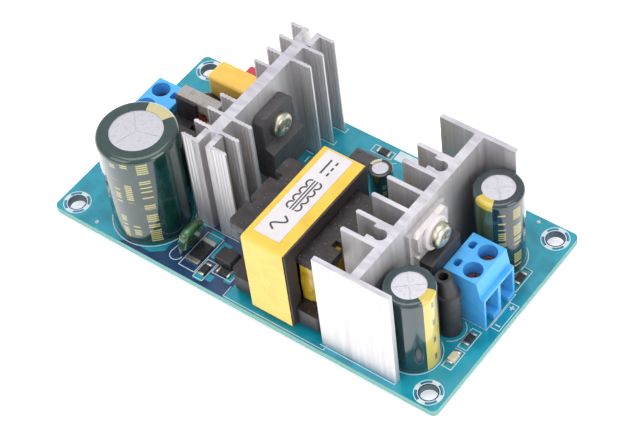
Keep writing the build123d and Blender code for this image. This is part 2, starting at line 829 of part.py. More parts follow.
def optocoupler():
    length, width, height = optocoupler_size
    x, y = optocoupler_centre
    half_x = length / 2
    side = outline([(-half_x + 0.25, 0.5), (half_x - 0.25, 0.5), (half_x, 2.2),
                    (half_x - 0.25, height + 0.5), (-half_x + 0.25, height + 0.5), (-half_x, 2.2)])
    body = Pos(x, y, top) * extrude(Plane.XZ * side, width / 2, both=True)
    body = chamfer(body.faces().sort_by(Axis.Z)[-1].edges().filter_by(Axis.X), optocoupler_corner)
    body -= post(x - half_x + 1.3, y + width / 2 - 1.9, top + height + 0.3, top + height + 2, 0.4)
    return body - [leg_bend(way, side) for way in (-1, 1) for side in (-1, 1)]


def leg_bend(way, side):
    # The flat shoulder of one leg, which starts inside the moulding
    length, width, height = optocoupler_size
    x, y = optocoupler_centre
    outer = x + way * (length / 2 + 0.7)
    inner = x + way * (length / 2 - 0.3)
    leg_y = y + side * leg_pitch / 2
    return block(min(inner, outer), max(inner, outer), leg_y - 0.6, leg_y + 0.6, top + 2.05, top + 2.3)


def optocoupler_legs():
    length, width, height = optocoupler_size
    x, y = optocoupler_centre
    legs = []
    for way in (-1, 1):
        for side in (-1, 1):
            leg_x = x + way * (length / 2 + 0.55)
            leg_y = y + side * leg_pitch / 2
            legs.append(flat_lead(leg_x, leg_y, top + 2.3, 0.3, 0.6) + leg_bend(way, side))
    return legs


def filter_core():
    # A closed frame of two ferrite halves, standing on edge
    x0 = filter_core_x
    x1 = x0 + filter_core_length
    high = top + filter_core_top
    low = high - filter_core_height
    y0 = filter_core_y
    y1 = y0 + filter_core_depth
    frame = block(x0, x1, y0, y1, low, high)
    hole = block(x0 + filter_core_bar, x1 - filter_core_bar, y0 - 1, y1 + 1,
                 low + filter_core_bar, high - filter_core_bar)
    return frame - hole


def filter_coil(leg_index):
    # The wound bobbin chamber round one upright of the frame
    x0 = filter_core_x if leg_index == 0 else filter_core_x + filter_core_length - filter_core_bar
    x1 = x0 + filter_core_bar
    y0 = filter_core_y
    y1 = y0 + filter_core_depth
    wall = filter_coil_wall if leg_index else filter_coil_wall * 0.45
    high = top + filter_core_top - filter_core_bar
    low = high - filter_core_height + 2 * filter_core_bar
    upper = high - 0.8 if leg_index else top + filter_left_coil_top
    outer = block(x0 - wall, x1 + filter_coil_wall * 0.9,
                  y0 - filter_coil_wall * 1.4, y1 + filter_coil_wall, low + 1.0, upper)
    outer = fillet(outer.edges().filter_by(Axis.Z), 0.8)
    # The first coil leaves room for the bobbin's cheek, which stands against the core
    room = 0.1 if leg_index else 0.1 + filter_cheek_thickness
    inner = block(x0 - 0.1, x1 + 0.1, y0 - room, y1 + 0.1, low, high)
    return outer, inner


def filter_windings():
    left, left_hole = filter_coil(0)
    right, right_hole = filter_coil(1)
    return Compound(children=[left - left_hole, right - right_hole])


def filter_bobbin():
    # Base plate, and the thin cheek that stands in front of the first upright
    x0 = filter_core_x
    x1 = x0 + filter_core_length
    y0 = filter_core_y - filter_coil_wall * 1.4 - 0.5
    y1 = filter_core_y + filter_core_depth + filter_coil_wall + 0.5
    core_low = top + filter_core_top - filter_core_height
    base = block(x0 - 0.6, x1 + 1.8, y0, y1, top, core_low)
    upper = top + filter_core_top - filter_cheek_drop
    back = filter_core_y - 0.1
    front = back - filter_cheek_thickness
    cheek = block(x0, x0 + filter_cheek_length, front, back, top + filter_left_coil_top + 0.2, upper)
    stem = block(x0, x0 + filter_core_bar, front, back, top, upper)
    return base + cheek + stem


def output_choke_core():
    x, y = output_choke_centre
    radius = output_choke_radius - shrink_wall
    rim = post(x, y, top + 0.4, top + 1.6, radius)
    rim += post(x, y, top + output_choke_height - 1.6, top + output_choke_height - shrink_wall, radius)
    return rim + post(x, y, top + 1.6, top + output_choke_height - 1.6, radius * 0.8)


def output_choke_sleeve():
    # Shrunk tube: full width over the core, then a narrow open neck that leans over
    x, y = output_choke_centre
    shoulder = top + output_choke_height
    body = post(x, y, top + 0.2, shoulder, output_choke_radius)
    body = fillet(body.faces().sort_by(Axis.Z)[-1].edges(), 0.5)
    lower = Plane(origin=(x, y, shoulder - 0.3), z_dir=(0, 0, 1))
    upper = Plane(origin=(x - output_choke_lean, y, top + output_choke_neck_top), z_dir=(0, 0, 1))
    radius = output_choke_neck_radius
    neck = loft([lower * Circle(radius * 1.25), upper * Circle(radius)])
    bore_radius = output_choke_bore_radius
    bore = loft([lower * Circle(bore_radius * 1.2), upper * Circle(bore_radius)])
    hollow = post(x, y, top, shoulder - shrink_wall, output_choke_radius - shrink_wall)
    return body + neck - bore - hollow


# Chip parts: centre x, centre y, length along Y, width, height; turned ones lie along X
resistor_1206 = (3.2, 1.6, 0.6)
resistor_2512 = (6.4, 3.2, 0.6)
chip_resistors = [
    (-14.0, -18.8, resistor_2512, False),
    (-10.5, -22.1, resistor_1206, False),
    (-6.6, -20.6, resistor_1206, True),
    (2.0, 22.95, resistor_1206, True),
    (44.05, 10.0, resistor_1206, False),
    (44.05, -7.8, resistor_1206, False),
]
led_centre = (44.05, -13.3)
snubber_diode_centre = (-7.75, -17.8)
snubber_diode_size = (4.3, 3.5, 2.2)


def chip(x, y, size, turned):
    # The ceramic block of a chip part, and its two metal end caps
    length, width, height = size
    cap = length * 0.16
    along = Rot(0, 0, 0 if turned else 90)
    body = Pos(x, y, top + height / 2) * along * Box(length, width, height)
    middle = Pos(x, y, top + height / 2) * along * Box(length - 2 * cap, width, height)
    return middle, body - middle


def snubber_diode():
    length, width, height = snubber_diode_size
    x, y = snubber_diode_centre
    body = block(x - length / 2, x + length / 2, y - width / 2, y + width / 2, top + 0.1, top + height)
    return chamfer(body.faces().sort_by(Axis.Z)[-1].edges(), 0.3)


def snubber_diode_caps():
    length, width, height = snubber_diode_size
    x, y = snubber_diode_centre
    inner = length / 2 - 0.4
    outer = length / 2 + 0.6
    return [block(x - outer, x - inner, y - 1.0, y + 1.0, top, top + 0.35),
            block(x + inner, x + outer, y - 1.0, y + 1.0, top, top + 0.35)]


def solder_joints():
    joints = []
    for x, y, width_x, width_y, is_round in lead_spots:
        reach = max(width_x, width_y) / 2
        cone = Cone(reach + solder_spread * 0.4, reach + solder_spread, solder_height)
        cone = Pos(x, y, -solder_height / 2) * cone
        if is_round:
            cone -= post(x, y, -solder_height - 1, 1, width_x / 2)
        else:
            cone -= block(x - width_x / 2, x + width_x / 2, y - width_y / 2, y + width_y / 2,
                          -solder_height - 1, 1)
        joints.append(cone)
    return Compound(children=joints)


def circuit_board():
    plate = Rectangle(board_length, board_width)
    plate = fillet(plate.vertices(), board_corner_radius)
    for x in (-1, 1):
        for y in (-1, 1):
            hole = Pos(x * hole_spacing_x / 2, y * hole_spacing_y / 2)
            plate -= hole * Circle(mounting_hole_diameter / 2)
    for x, y, width_x, width_y, is_round in lead_spots:
        if is_round:
            plate -= Pos(x, y) * Circle(width_x / 2 + lead_hole_gap)
        else:
            plate -= Pos(x, y) * Rectangle(width_x + 2 * lead_hole_gap, width_y + 2 * lead_hole_gap)
    return extrude(plate, board_thickness)


os.makedirs("parts", exist_ok=True)

save("primary_heatsink", primary_heatsink())
save("secondary_heatsink", secondary_heatsink())
save("heatsink_pins", heatsink_pins())
save("heatsink_screws", heatsink_screws())
save("switching_transistor", switching_transistor())
save("transistor_legs", transistor_legs())
save("rectifier_tab", rectifier_tab())
save("rectifier_body", rectifier_body())
save("rectifier_legs", rectifier_legs())
save("rectifier_pad", rectifier_pad())
save("rectifier_bush", rectifier_bush())

save("transformer_core_upper", core_half(True))
save("transformer_core_lower", core_half(False))
save("transformer_bobbin", transformer_bobbin())
save("transformer_winding", transformer_winding())
save("transformer_pins", transformer_pins())
save("transformer_tape", transformer_tape())
save("transformer_label", transformer_label())

output_leads = (output_lead_pitch, output_lead_diameter, along_y)
bulk_score = (bulk_score_lines, bulk_score_turn)
output_score = (output_score_lines, output_score_turn)
capacitors = [
    ("bulk_capacitor", bulk_capacitor, bulk_score, (bulk_lead_pitch, bulk_lead_diameter, along_y)),
    ("front_output_capacitor", front_capacitor, output_score, output_leads),
    ("back_output_capacitor", back_capacitor, output_score, output_leads),
    ("control_capacitor", control_capacitor, (0, 0),
     (control_lead_pitch, control_lead_diameter, along_x)),
]
component_leads = []
for name, (x, y, radius, height), (score_lines, score_turn), (pitch, diameter, angle) in capacitors:
    save(name + "_can", capacitor_can(x, y, radius, height, score_lines, score_turn))
    save(name + "_sleeve", capacitor_sleeve(x, y, radius, height))
    component_leads += lead_pair(x, y, pitch, angle, top, diameter)

for name in ("input", "output"):
    site = terminal_site(name)
    save(name + "_terminal_housing", site * terminal_housing())
    save(name + "_terminal_contacts", terminal_contacts(name))
    for number, y in enumerate(way_ys(), start=1):
        save(f"{name}_clamp_{number}", site * clamp_cage(y))
        save(f"{name}_clamp_screw_{number}", site * clamp_screw(y))

save("safety_capacitor", boxed(safety_capacitor_size, safety_capacitor_centre, 0.9))
component_leads += lead_pair(*safety_capacitor_centre, 10.0, along_x, top, 0.8)
save("fuse", boxed(fuse_size, fuse_centre, 0.4))
component_leads += lead_pair(*fuse_centre, 5.08, along_x, top, 0.7)
save("inrush_thermistor", inrush_thermistor())
component_leads += lead_pair(*thermistor_centre, thermistor_lead_pitch, along_x, top + 3.2, 0.7)
save("bridge_rectifier", bridge_rectifier())
for step in range(4):
    lead_x = bridge_centre[0] + (step - 1.5) * 3.8
    component_leads.append(round_lead(lead_x, bridge_centre[1], top + bridge_top - bridge_size[2], 0.8))
save("film_capacitor", film_capacitor())
film_lead_x = film_capacitor_centre[0] - film_lead_offset
component_leads += lead_pair(film_lead_x, film_capacitor_centre[1], film_lead_pitch, along_y,
                             top + film_lead_top, film_lead_diameter)
save("optocoupler", optocoupler())
component_leads += optocoupler_legs()
save("filter_choke_core", filter_core())
save("filter_choke_windings", filter_windings())
save("filter_choke_bobbin", filter_bobbin())
for x in (filter_core_x + 0.9, filter_core_x + filter_core_length - 0.9):
    for y in (filter_core_y - 1.9, filter_core_y + filter_core_depth + 1.1):
        component_leads.append(round_lead(x, y, top, 0.7))
save("output_choke_core", output_choke_core())
save("output_choke_sleeve", output_choke_sleeve())
component_leads += lead_pair(*output_choke_centre, output_choke_lead_pitch, along_y, top + 0.4, 0.6)

chip_bodies = []
chip_caps = []
for x, y, size, turned in chip_resistors:
    body, caps = chip(x, y, size, turned)
    chip_bodies.append(body)
    chip_caps += list(caps.solids())
save("chip_resistors", Compound(children=chip_bodies))
led_body, led_caps = chip(*led_centre, (3.2, 1.6, 1.0), False)
save("indicator_led", led_body)
chip_caps += list(led_caps.solids())
save("snubber_diode", snubber_diode() - Compound(children=snubber_diode_caps()))
chip_caps += snubber_diode_caps()
save("chip_end_caps", Compound(children=chip_caps))

save("component_leads", Compound(children=component_leads))
save("solder_joints", solder_joints())
save("circuit_board", circuit_board())
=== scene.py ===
import bmesh
import bpy
import json
from math import cos, degrees, pi, radians, sin
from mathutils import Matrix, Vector

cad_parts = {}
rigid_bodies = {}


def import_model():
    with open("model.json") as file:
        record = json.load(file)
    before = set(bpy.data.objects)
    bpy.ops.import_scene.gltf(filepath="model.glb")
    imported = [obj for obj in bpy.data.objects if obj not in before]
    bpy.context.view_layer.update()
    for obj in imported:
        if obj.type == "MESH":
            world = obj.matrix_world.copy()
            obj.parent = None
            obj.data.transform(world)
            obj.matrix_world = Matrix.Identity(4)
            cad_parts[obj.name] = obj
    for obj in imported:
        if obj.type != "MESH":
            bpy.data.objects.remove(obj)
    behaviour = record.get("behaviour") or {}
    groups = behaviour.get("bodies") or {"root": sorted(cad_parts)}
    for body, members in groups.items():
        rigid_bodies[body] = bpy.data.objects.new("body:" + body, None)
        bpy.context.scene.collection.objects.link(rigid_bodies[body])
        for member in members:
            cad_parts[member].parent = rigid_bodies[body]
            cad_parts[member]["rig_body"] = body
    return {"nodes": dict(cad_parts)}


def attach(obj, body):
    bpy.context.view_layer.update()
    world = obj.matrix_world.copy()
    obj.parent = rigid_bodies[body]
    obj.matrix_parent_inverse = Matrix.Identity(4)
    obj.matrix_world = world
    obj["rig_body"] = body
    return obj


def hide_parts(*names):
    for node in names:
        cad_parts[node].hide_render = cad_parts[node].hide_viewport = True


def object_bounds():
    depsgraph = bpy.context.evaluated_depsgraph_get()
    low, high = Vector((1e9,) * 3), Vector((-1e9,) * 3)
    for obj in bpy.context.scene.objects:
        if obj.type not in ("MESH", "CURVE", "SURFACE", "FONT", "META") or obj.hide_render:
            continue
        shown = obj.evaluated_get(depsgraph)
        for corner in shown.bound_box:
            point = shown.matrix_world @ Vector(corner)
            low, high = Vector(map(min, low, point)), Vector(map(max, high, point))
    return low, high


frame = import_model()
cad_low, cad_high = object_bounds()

# Lengths are given in millimetres and turned to metres by MM. The board's underside is at z = 0 and
# its printed side at z = BOARD.
MM = 0.001
BOARD = 1.6
EDGE_X, EDGE_Y = 48.15, 25.65
EDGE_RADIUS = 1.2
HOLES = [(x, y) for x in (-44.5, 44.5) for y in (-22.35, 22.35)]
# Heights of the copper, the print and the bare pads over the laminate
COPPER = 0.03
PRINT = 0.045
PAD = 0.06
# Width of a printed line
LINE = 0.16
# The transformer's core, its tape and its label, from the board up
CORE_BOTTOM = 1.35
CORE_HALF_HEIGHT = 10.65
TAPE = 0.25
LABEL = 0.12
LABEL_MIDDLE = (8.3, -10.1)
# The filter choke: the left coil, under black tape, ends at this x. The right coil shows its wire,
# inside the box whose left, right, front, back, low and high sides these are
LEFT_COIL_END = -29.4
RIGHT_COIL = (-28.75, -22.44, -0.81, 6.80, 8.7, 15.1)
WIRE_RADIUS = 0.26
# Capacitors: x, y, outer radius and height
BULK = (-28.65, -15.95, 8.45, 25.6)
FRONT_CAPACITOR = (36.8, -15.8, 5.2, 20.8)
BACK_CAPACITOR = (37.7, 12.95, 5.1, 21.0)
CONTROL_CAPACITOR = (9.8, 11.7, 2.6, 11.0)
# Middle angles of the output capacitors' polarity stripes, in degrees
FRONT_STRIPE = -3.4
BACK_STRIPE = -94.2


# Small tools of the workshop

def tone(code):
    """An sRGB hex value as a linear colour."""
    parts = [int(code[place:place + 2], 16) / 255 for place in (1, 3, 5)]
    linear = [part / 12.92 if part <= 0.04045 else ((part + 0.055) / 1.055) ** 2.4 for part in parts]
    return (*linear, 1.0)


def put_down():
    """Leaves edit mode and deselects everything."""
    if bpy.context.object and bpy.context.object.mode != "OBJECT":
        bpy.ops.object.mode_set(mode="OBJECT")
    bpy.ops.object.select_all(action="DESELECT")


def pick_up(piece):
    put_down()
    piece.select_set(True)
    bpy.context.view_layer.objects.active = piece


def settle(piece, name):
    """Names a piece and leaves its object at the origin, with its place in its mesh."""
    piece.name = name
    pick_up(piece)
    bpy.ops.object.transform_apply(location=True, rotation=True, scale=True)
    return piece


def choose_faces(piece, test):
    """Opens edit mode and selects the faces whose centre in mm passes the test."""
    pick_up(piece)
    bpy.ops.object.mode_set(mode="EDIT")
    bpy.ops.mesh.select_mode(type="FACE")
    bpy.ops.mesh.select_all(action="DESELECT")
    mesh = bmesh.from_edit_mesh(piece.data)
    for face in mesh.faces:
        face.select_set(test(face.calc_center_median() / MM))
    bmesh.update_edit_mesh(piece.data)


def apply_modifier(piece, kind, **settings):
    """Adds a modifier, sets it and applies it."""
    pick_up(piece)
    modifier = piece.modifiers.new("shape", kind)
    for name, value in settings.items():
        setattr(modifier, name, value)
    bpy.ops.object.modifier_apply(modifier=modifier.name)


def smooth(piece, angle):
    pick_up(piece)
    bpy.ops.object.shade_smooth_by_angle(angle=radians(angle))


def paint(piece, material):
    piece.data.materials.clear()
    piece.data.materials.append(material)


def paint_where(piece, material, test):
    """Another material on the faces that pass the test of centre in mm and normal."""
    piece.data.materials.append(material)
    number = len(piece.data.materials) - 1
    for face in piece.data.polygons:
        if test(face.center / MM, face.normal):
            face.material_index = number


def mount(piece, node, material=None, hide=False):
    """Lets a piece ride with a CAD node's body; with hide it stands for the node."""
    if material:
        paint(piece, material)
    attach(piece, frame["nodes"][node]["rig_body"])
    if hide:
        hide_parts(node)
    return piece


def cad_copy(node, name):
    """A merged copy of a CAD node's mesh, with its flat faces whole again."""
    piece = bpy.data.objects.new(name, frame["nodes"][node].data.copy())
    bpy.context.scene.collection.objects.link(piece)
    pick_up(piece)
    bpy.ops.object.mode_set(mode="EDIT")
    bpy.ops.mesh.select_all(action="SELECT")
    bpy.ops.mesh.remove_doubles(threshold=0.001 * MM)
    bpy.ops.mesh.dissolve_limited(angle_limit=radians(1))
    bpy.ops.object.mode_set(mode="OBJECT")
    return piece


def dress(node, material, edge, sharp=40, ends=None):
    """Stands for a rigid node: its own shape with edges broken as the process leaves them.

    edge is the width of the broken edge in mm and sharp the smallest angle that gets one, in degrees.
    ends is a second material for the faces that look up or down.
    """
    piece = cad_copy(node, node + "_dressed")
    paint(piece, material)
    if ends:
        paint_where(piece, ends, lambda place, normal: abs(normal.z) > 0.9)
    if edge:
        apply_modifier(piece, "BEVEL", width=edge * MM, segments=2, limit_method="ANGLE",
                       angle_limit=radians(sharp), use_clamp_overlap=True, harden_normals=False)
    smooth(piece, 32)
    apply_modifier(piece, "WEIGHTED_NORMAL", keep_sharp=True, weight=100)
    return mount(piece, node, hide=True)


def ring(x, y, radius, count=48, start=0.0, sweep=360.0):
    """Points of a circle or an arc, in mm."""
    steps = count if sweep == 360.0 else count + 1
    angles = [radians(start + sweep * step / count) for step in range(steps)]
    return [(x + radius * cos(angle), y + radius * sin(angle)) for angle in angles]


def sector(x, y, inner, outer, start, sweep, count=12):
    """The outline of a piece of a ring."""
    back = ring(x, y, inner, count, start, sweep)
    return ring(x, y, outer, count, start, sweep) + back[::-1]


def rectangle(x0, x1, y0, y1):
    return [(x0, y0), (x1, y0), (x1, y1), (x0, y1)]


def stroke(points, width, closed=False):
    """The outlines of a line of one width with mitred corners."""
    places = [Vector(point) for point in points]
    sides = [[], []]
    for index, place in enumerate(places):
        before = places[index - 1] if closed or index else None
        after = places[(index + 1) % len(places)] if closed or index < len(places) - 1 else None
        ways = []
        if before is not None:
            ways.append((place - before).normalized())
        if after is not None:
            ways.append((after - place).normalized())
        normals = [Vector((-way.y, way.x)) for way in ways]
        mitre = sum(normals, Vector((0, 0))).normalized()
        reach = width / 2 / max(0.3, mitre.dot(normals[0]))
        sides[0].append(tuple(place + mitre * reach))
        sides[1].append(tuple(place - mitre * reach))
    if closed:
        return sides
    return [sides[0] + sides[1][::-1]]


def from_loops(name, loops, dimensions, **settings):
    """A mesh piece from a curve of closed loops, given as a height and points in mm."""
    curve = bpy.data.curves.new(name, "CURVE")
    curve.dimensions = dimensions
    for setting, value in settings.items():
        setattr(curve, setting, value)
    for z, outline in loops:
        spline = curve.splines.new("POLY")
        spline.points.add(len(outline) - 1)
        for point, (x, y) in zip(spline.points, outline):
            point.co = (x * MM, y * MM, z * MM, 1)
        spline.use_cyclic_u = True
    piece = bpy.data.objects.new(name, curve)
    bpy.context.scene.collection.objects.link(piece)
    pick_up(piece)
    bpy.ops.object.convert(target="MESH")
    return bpy.context.object


def flat_shape(name, outlines, low, high):
    """A flat piece from outlines in mm, with holes where one lies inside another."""
    piece = from_loops(name, [(0, outline) for outline in outlines], "2D", fill_mode="BOTH",
                       extrude=(high - low) / 2 * MM)
    piece.location = (0, 0, (low + high) / 2 * MM)
    return settle(piece, name)


# Materials

def add(tree, kind, stops=None, inputs=None, **settings):
    """Adds a node with its settings, colour stops, values and links.

    An input is a value, a socket, or a node whose first output is meant.
    """
    node = tree.nodes.new(kind)
    for name, value in settings.items():
        setattr(node, name, value)
    if stops:
        ramp = node.color_ramp.elements
        while len(ramp) < len(stops):
            ramp.new(0.5)
        for element, (place, colour) in zip(ramp, stops):
            element.position = place
            element.color = colour if isinstance(colour, tuple) else tone(colour)
    for socket, value in (inputs or {}).items():
        if isinstance(value, bpy.types.Node):
            value = value.outputs[0]
        if isinstance(value, bpy.types.NodeSocket):
            tree.links.new(value, node.inputs[socket])
        else:
            node.inputs[socket].default_value = value
    return node


def start_material(name):
    """An empty material and its tree."""
    material = bpy.data.materials.new(name)
    material.use_nodes = True
    material.node_tree.nodes.clear()
    return material, material.node_tree


def close_material(tree, **inputs):
    """The shader and the output. Words with an underscore name the shader's sockets."""
    sockets = {name.replace("_", " "): value for name, value in inputs.items()}
    shader = add(tree, "ShaderNodeBsdfPrincipled", inputs=sockets)
    add(tree, "ShaderNodeOutputMaterial", inputs={"Surface": shader})


def surface(tree, places, tones, gloss, relief):
    """The colour, the roughness and the relief of a surface, each from a soft pattern of its own.

    All three start with the size of the pattern's patches in mm and its detail. tones goes on with the
    colour stops, gloss with the lowest and highest roughness, and relief with its depth in mm and its
    strength.
    """
    clouds, wear, grain = [
        add(tree, "ShaderNodeTexNoise", inputs={"Vector": places, "Scale": 1 / (size * MM), "Detail": detail})
        for size, detail, *_ in (tones, gloss, relief)]
    colour = add(tree, "ShaderNodeValToRGB", stops=tones[2], inputs={"Fac": clouds})
    rough = add(tree, "ShaderNodeMapRange", inputs={
        "Value": wear, "From Min": 0.3, "From Max": 0.7, "To Min": gloss[2], "To Max": gloss[3]})
    bump = add(tree, "ShaderNodeBump", inputs={
        "Height": grain, "Distance": relief[2] * MM, "Strength": relief[3]})
    return colour, rough, bump


def finish(name, colours, patch, rough, relief, grain=(1, 1, 1), turn=(0, 0, 0), **shader):
    """A surface whose colour wanders between tones over patches in mm, with its own fine relief.

    colours are two or three hex values, rough is the lowest and highest roughness, and relief is the
    size and height of the fine grain in mm. grain stretches the patterns, 1 is even, and turn turns them.
    """
    material, tree = start_material(name)
    at = add(tree, "ShaderNodeTexCoord").outputs["Object"]
    places = add(tree, "ShaderNodeMapping", inputs={"Vector": at, "Scale": grain, "Rotation": turn})
    step = 0.36 / (len(colours) - 1)
    stops = [(0.32 + step * index, colour) for index, colour in enumerate(colours)]
    colour, gloss, bump = surface(tree, places, (patch, 3.0, stops), (patch * 0.37, 4.0, *rough),
                                  (relief[0], 2.0, relief[1], 1.0))
    close_material(tree, Base_Color=colour, Roughness=gloss, Normal=bump, **shader)
    return material


# Extruded aluminium, bright from the die, with fine die lines along Z, the extrusion's way.
extruded_aluminium = finish("extruded_aluminium", ("#CAC7C9", "#D4D1D4", "#DCDADC"), 1.1, (0.40, 0.54),
                            (0.35, 0.0022), grain=(1, 1, 0.03), Metallic=0.72)
# The saw leaves the ends of the same aluminium matt and paler, with faint strokes across the web.
sawn_aluminium = finish("sawn_aluminium", ("#BBB8C0", "#CBC8CF", "#D8D5DA"), 1.6, (0.48, 0.62),
                        (0.30, 0.016), grain=(0.25, 1, 1), turn=(0, 0, radians(28)), Metallic=1.0)
# Tin-plated steel wire and cages: a soft grey shine with slight clouding.
tinned_steel = finish("tinned_steel", ("#B9BABC", "#D2D2D3"), 0.9, (0.25, 0.42), (0.25, 0.006),
                      Metallic=1.0)
# Zinc-plated screws, yellow passivated: a warm pale shine.
zinc_plated_steel = finish("zinc_plated_steel", ("#A8A592", "#CBC8B6", "#B9B6A2"), 0.8, (0.30, 0.42),
                           (0.22, 0.006), Metallic=1.0)
# Terminal screws of plated steel: their dark reddish colour is a painted reflection of their wells, with
# painted shade.
screw_steel_painted_well_reflection = finish("screw_steel_painted_well_reflection", ("#94584C", "#B98478", "#7C3F38"), 0.7, (0.22, 0.36),
                              (0.22, 0.008), Metallic=1.0)
# Moulded black epoxy: matt, faintly grey, with a fine eroded texture from the mould.
moulded_epoxy = finish("moulded_epoxy", ("#3D3C3F", "#4C4A4E", "#444345"), 1.4, (0.42, 0.62),
                       (0.16, 0.012))
# Moulded epoxy of the output rectifier, the flat bridge and the small diode, a little darker.
dark_epoxy = finish("dark_epoxy", ("#29282A", "#353336"), 1.2, (0.40, 0.60), (0.16, 0.010))
# Tin-plated copper legs and lead frame: dull silver.
tinned_copper = finish("tinned_copper", ("#BDBAB2", "#D5D2CA"), 0.7, (0.28, 0.45), (0.20, 0.006),
                       Metallic=1.0)
# The output rectifier's copper tab, tinned and slightly milky under the flux.
tinned_tab = finish("tinned_tab", ("#D3CCC8", "#E4DEDA", "#DCD5D1"), 1.5, (0.34, 0.50), (0.25, 0.004),
                    Metallic=0.6)
# Grey silicone insulating pad: soft and matt.
silicone_pad = finish("silicone_pad", ("#A9A7AA", "#BDBBBE"), 1.0, (0.60, 0.80), (0.20, 0.008))
# White nylon bush: waxy and slightly see-through at its edges.
nylon = finish("nylon", ("#CFC9CC", "#D9D4D6"), 1.5, (0.32, 0.45), (0.3, 0.004), Subsurface_Weight=0.25,
               Subsurface_Radius=(0.0012, 0.0010, 0.0008), Subsurface_Scale=1.0)
# Manganese-zinc ferrite, ground: charcoal with a slight sparkle of grains.
ground_ferrite = finish("ground_ferrite", ("#2C2728", "#3D3636", "#342E2F"), 0.6, (0.35, 0.58),
                        (0.12, 0.008))
# The line choke's nickel-zinc ferrite, tumbled: grey beige and smooth.
pale_ferrite = finish("pale_ferrite", ("#8F8985", "#A8A29E", "#9C9692"), 1.2, (0.38, 0.55), (0.18, 0.008))
# Enamelled copper wire: dark red brown with a lacquer shine.
enamelled_copper = finish("enamelled_copper", ("#5C2418", "#8E4530", "#743222"), 0.8, (0.14, 0.28),
                          (0.25, 0.004), Metallic=0.4, Coat_Weight=0.9)
# Polyester tape, glossy: the yellow band round the core, with faint creases.
polyester_tape = finish("polyester_tape", ("#DDB63C", "#E6BF47", "#D9B23A"), 6.0, (0.18, 0.34), (2.6, 0.020),
                        Coat_Weight=0.25, Coat_Roughness=0.12)
# The label's coated paper: off-white with a dull sheen.
label_paper = finish("label_paper", ("#D0CBCE", "#D8D3D6"), 4.0, (0.32, 0.46), (0.8, 0.004))
# Ink on the label: dark grey and matt.
label_ink = finish("label_ink", ("#3A383B", "#4A474B"), 0.8, (0.45, 0.6), (0.3, 0.002))
# Drawn aluminium of the cans, etched: silver with a fine spun grain.
drawn_aluminium = finish("drawn_aluminium", ("#C4C3CB", "#D2D1D8", "#CBCAD2"), 0.9, (0.34, 0.50),
                         (0.14, 0.006), Metallic=1.0)
# Moulded polyamide of the terminals: sky blue, satin, slightly waxy.
moulded_polyamide = finish("moulded_polyamide", ("#44A4EA", "#52B0F0", "#4BAAED"), 3.0, (0.30, 0.46),
                           (0.25, 0.006), Subsurface_Weight=0.12,
                           Subsurface_Radius=(0.0004, 0.0008, 0.0016), Subsurface_Scale=1.0)
# The safety capacitor's box: orange-yellow flame-proof plastic, satin.
orange_plastic = finish("orange_plastic", ("#EEBA4E", "#F4C45A", "#F1BF53"), 3.0, (0.30, 0.45),
                        (0.30, 0.008))
# The fuse's box: red plastic, satin.
red_plastic = finish("red_plastic", ("#C43B48", "#D24C58"), 2.5, (0.30, 0.45), (0.30, 0.008))
# Dipped silicone coat of the thermistor: near black, glossy and slightly wavy.
dipped_silicone = finish("dipped_silicone", ("#161B1A", "#232A28"), 1.2, (0.16, 0.34), (0.7, 0.05))
# Black heat-shrink tube and the tape on the filter choke: satin with soft waves.
heat_shrink = finish("heat_shrink", ("#232224", "#333134"), 1.6, (0.34, 0.52), (0.9, 0.03))
# Glazed ceramic and the black glass top of chip resistors.
chip_glass = finish("chip_glass", ("#222326", "#34363A"), 0.7, (0.22, 0.36), (0.15, 0.004))
# Solder, bright and slightly rippled.
solder = finish("solder", ("#B7B8BA", "#DADBDC"), 0.6, (0.14, 0.30), (0.45, 0.02), Metallic=1.0)
# The indicator's resin: clear epoxy over a yellow phosphor.
led_resin = finish("led_resin", ("#C6C1A6", "#D8D3BC"), 0.7, (0.10, 0.2), (0.3, 0.004),
                   Subsurface_Weight=0.4, Subsurface_Radius=(0.0006, 0.0006, 0.0004),
                   Subsurface_Scale=1.0, Coat_Weight=0.5)
# White legend ink on the mask, slightly raised and matt.
legend_ink = finish("legend_ink", ("#BFCED4", "#D2DEE2"), 0.7, (0.45, 0.6), (0.15, 0.004))
# The walls of drilled holes: the same laminate, drilled, darkened with painted shade for their depth.
hole_wall_painted_shade = finish("hole_wall_painted_shade", ("#3C4E50", "#566C6C", "#4A5E5F"), 0.5, (0.5, 0.7),
                          (0.18, 0.02), grain=(1, 1, 6))
# Solder mask on bare laminate: deep blue and glossy.
mask_on_laminate = finish("mask_on_laminate", ("#17345A", "#204269", "#1B3B62"), 5.0, (0.14, 0.26),
                          (1.2, 0.006), Coat_Weight=0.4, Coat_Roughness=0.08)
# The same mask over copper: the metal below turns it to bright teal.
mask_on_copper = finish("mask_on_copper", ("#0F8094", "#1D97AC", "#158BA0"), 6.0, (0.14, 0.26),
                        (1.2, 0.008), Coat_Weight=0.4, Coat_Roughness=0.08)
# Routed edge of the glass-epoxy laminate: pale green-grey, with the layers of glass cloth.
routed_laminate = finish("routed_laminate", ("#4E8C86", "#79AFA6", "#639C94"), 0.6, (0.5, 0.7),
                         (0.25, 0.004), grain=(1, 1, 4))


# The colour sockets of a Mix node share their names with others, and so go by number
MIX_FIRST, MIX_SECOND, MIX_RESULT = 6, 7, 2


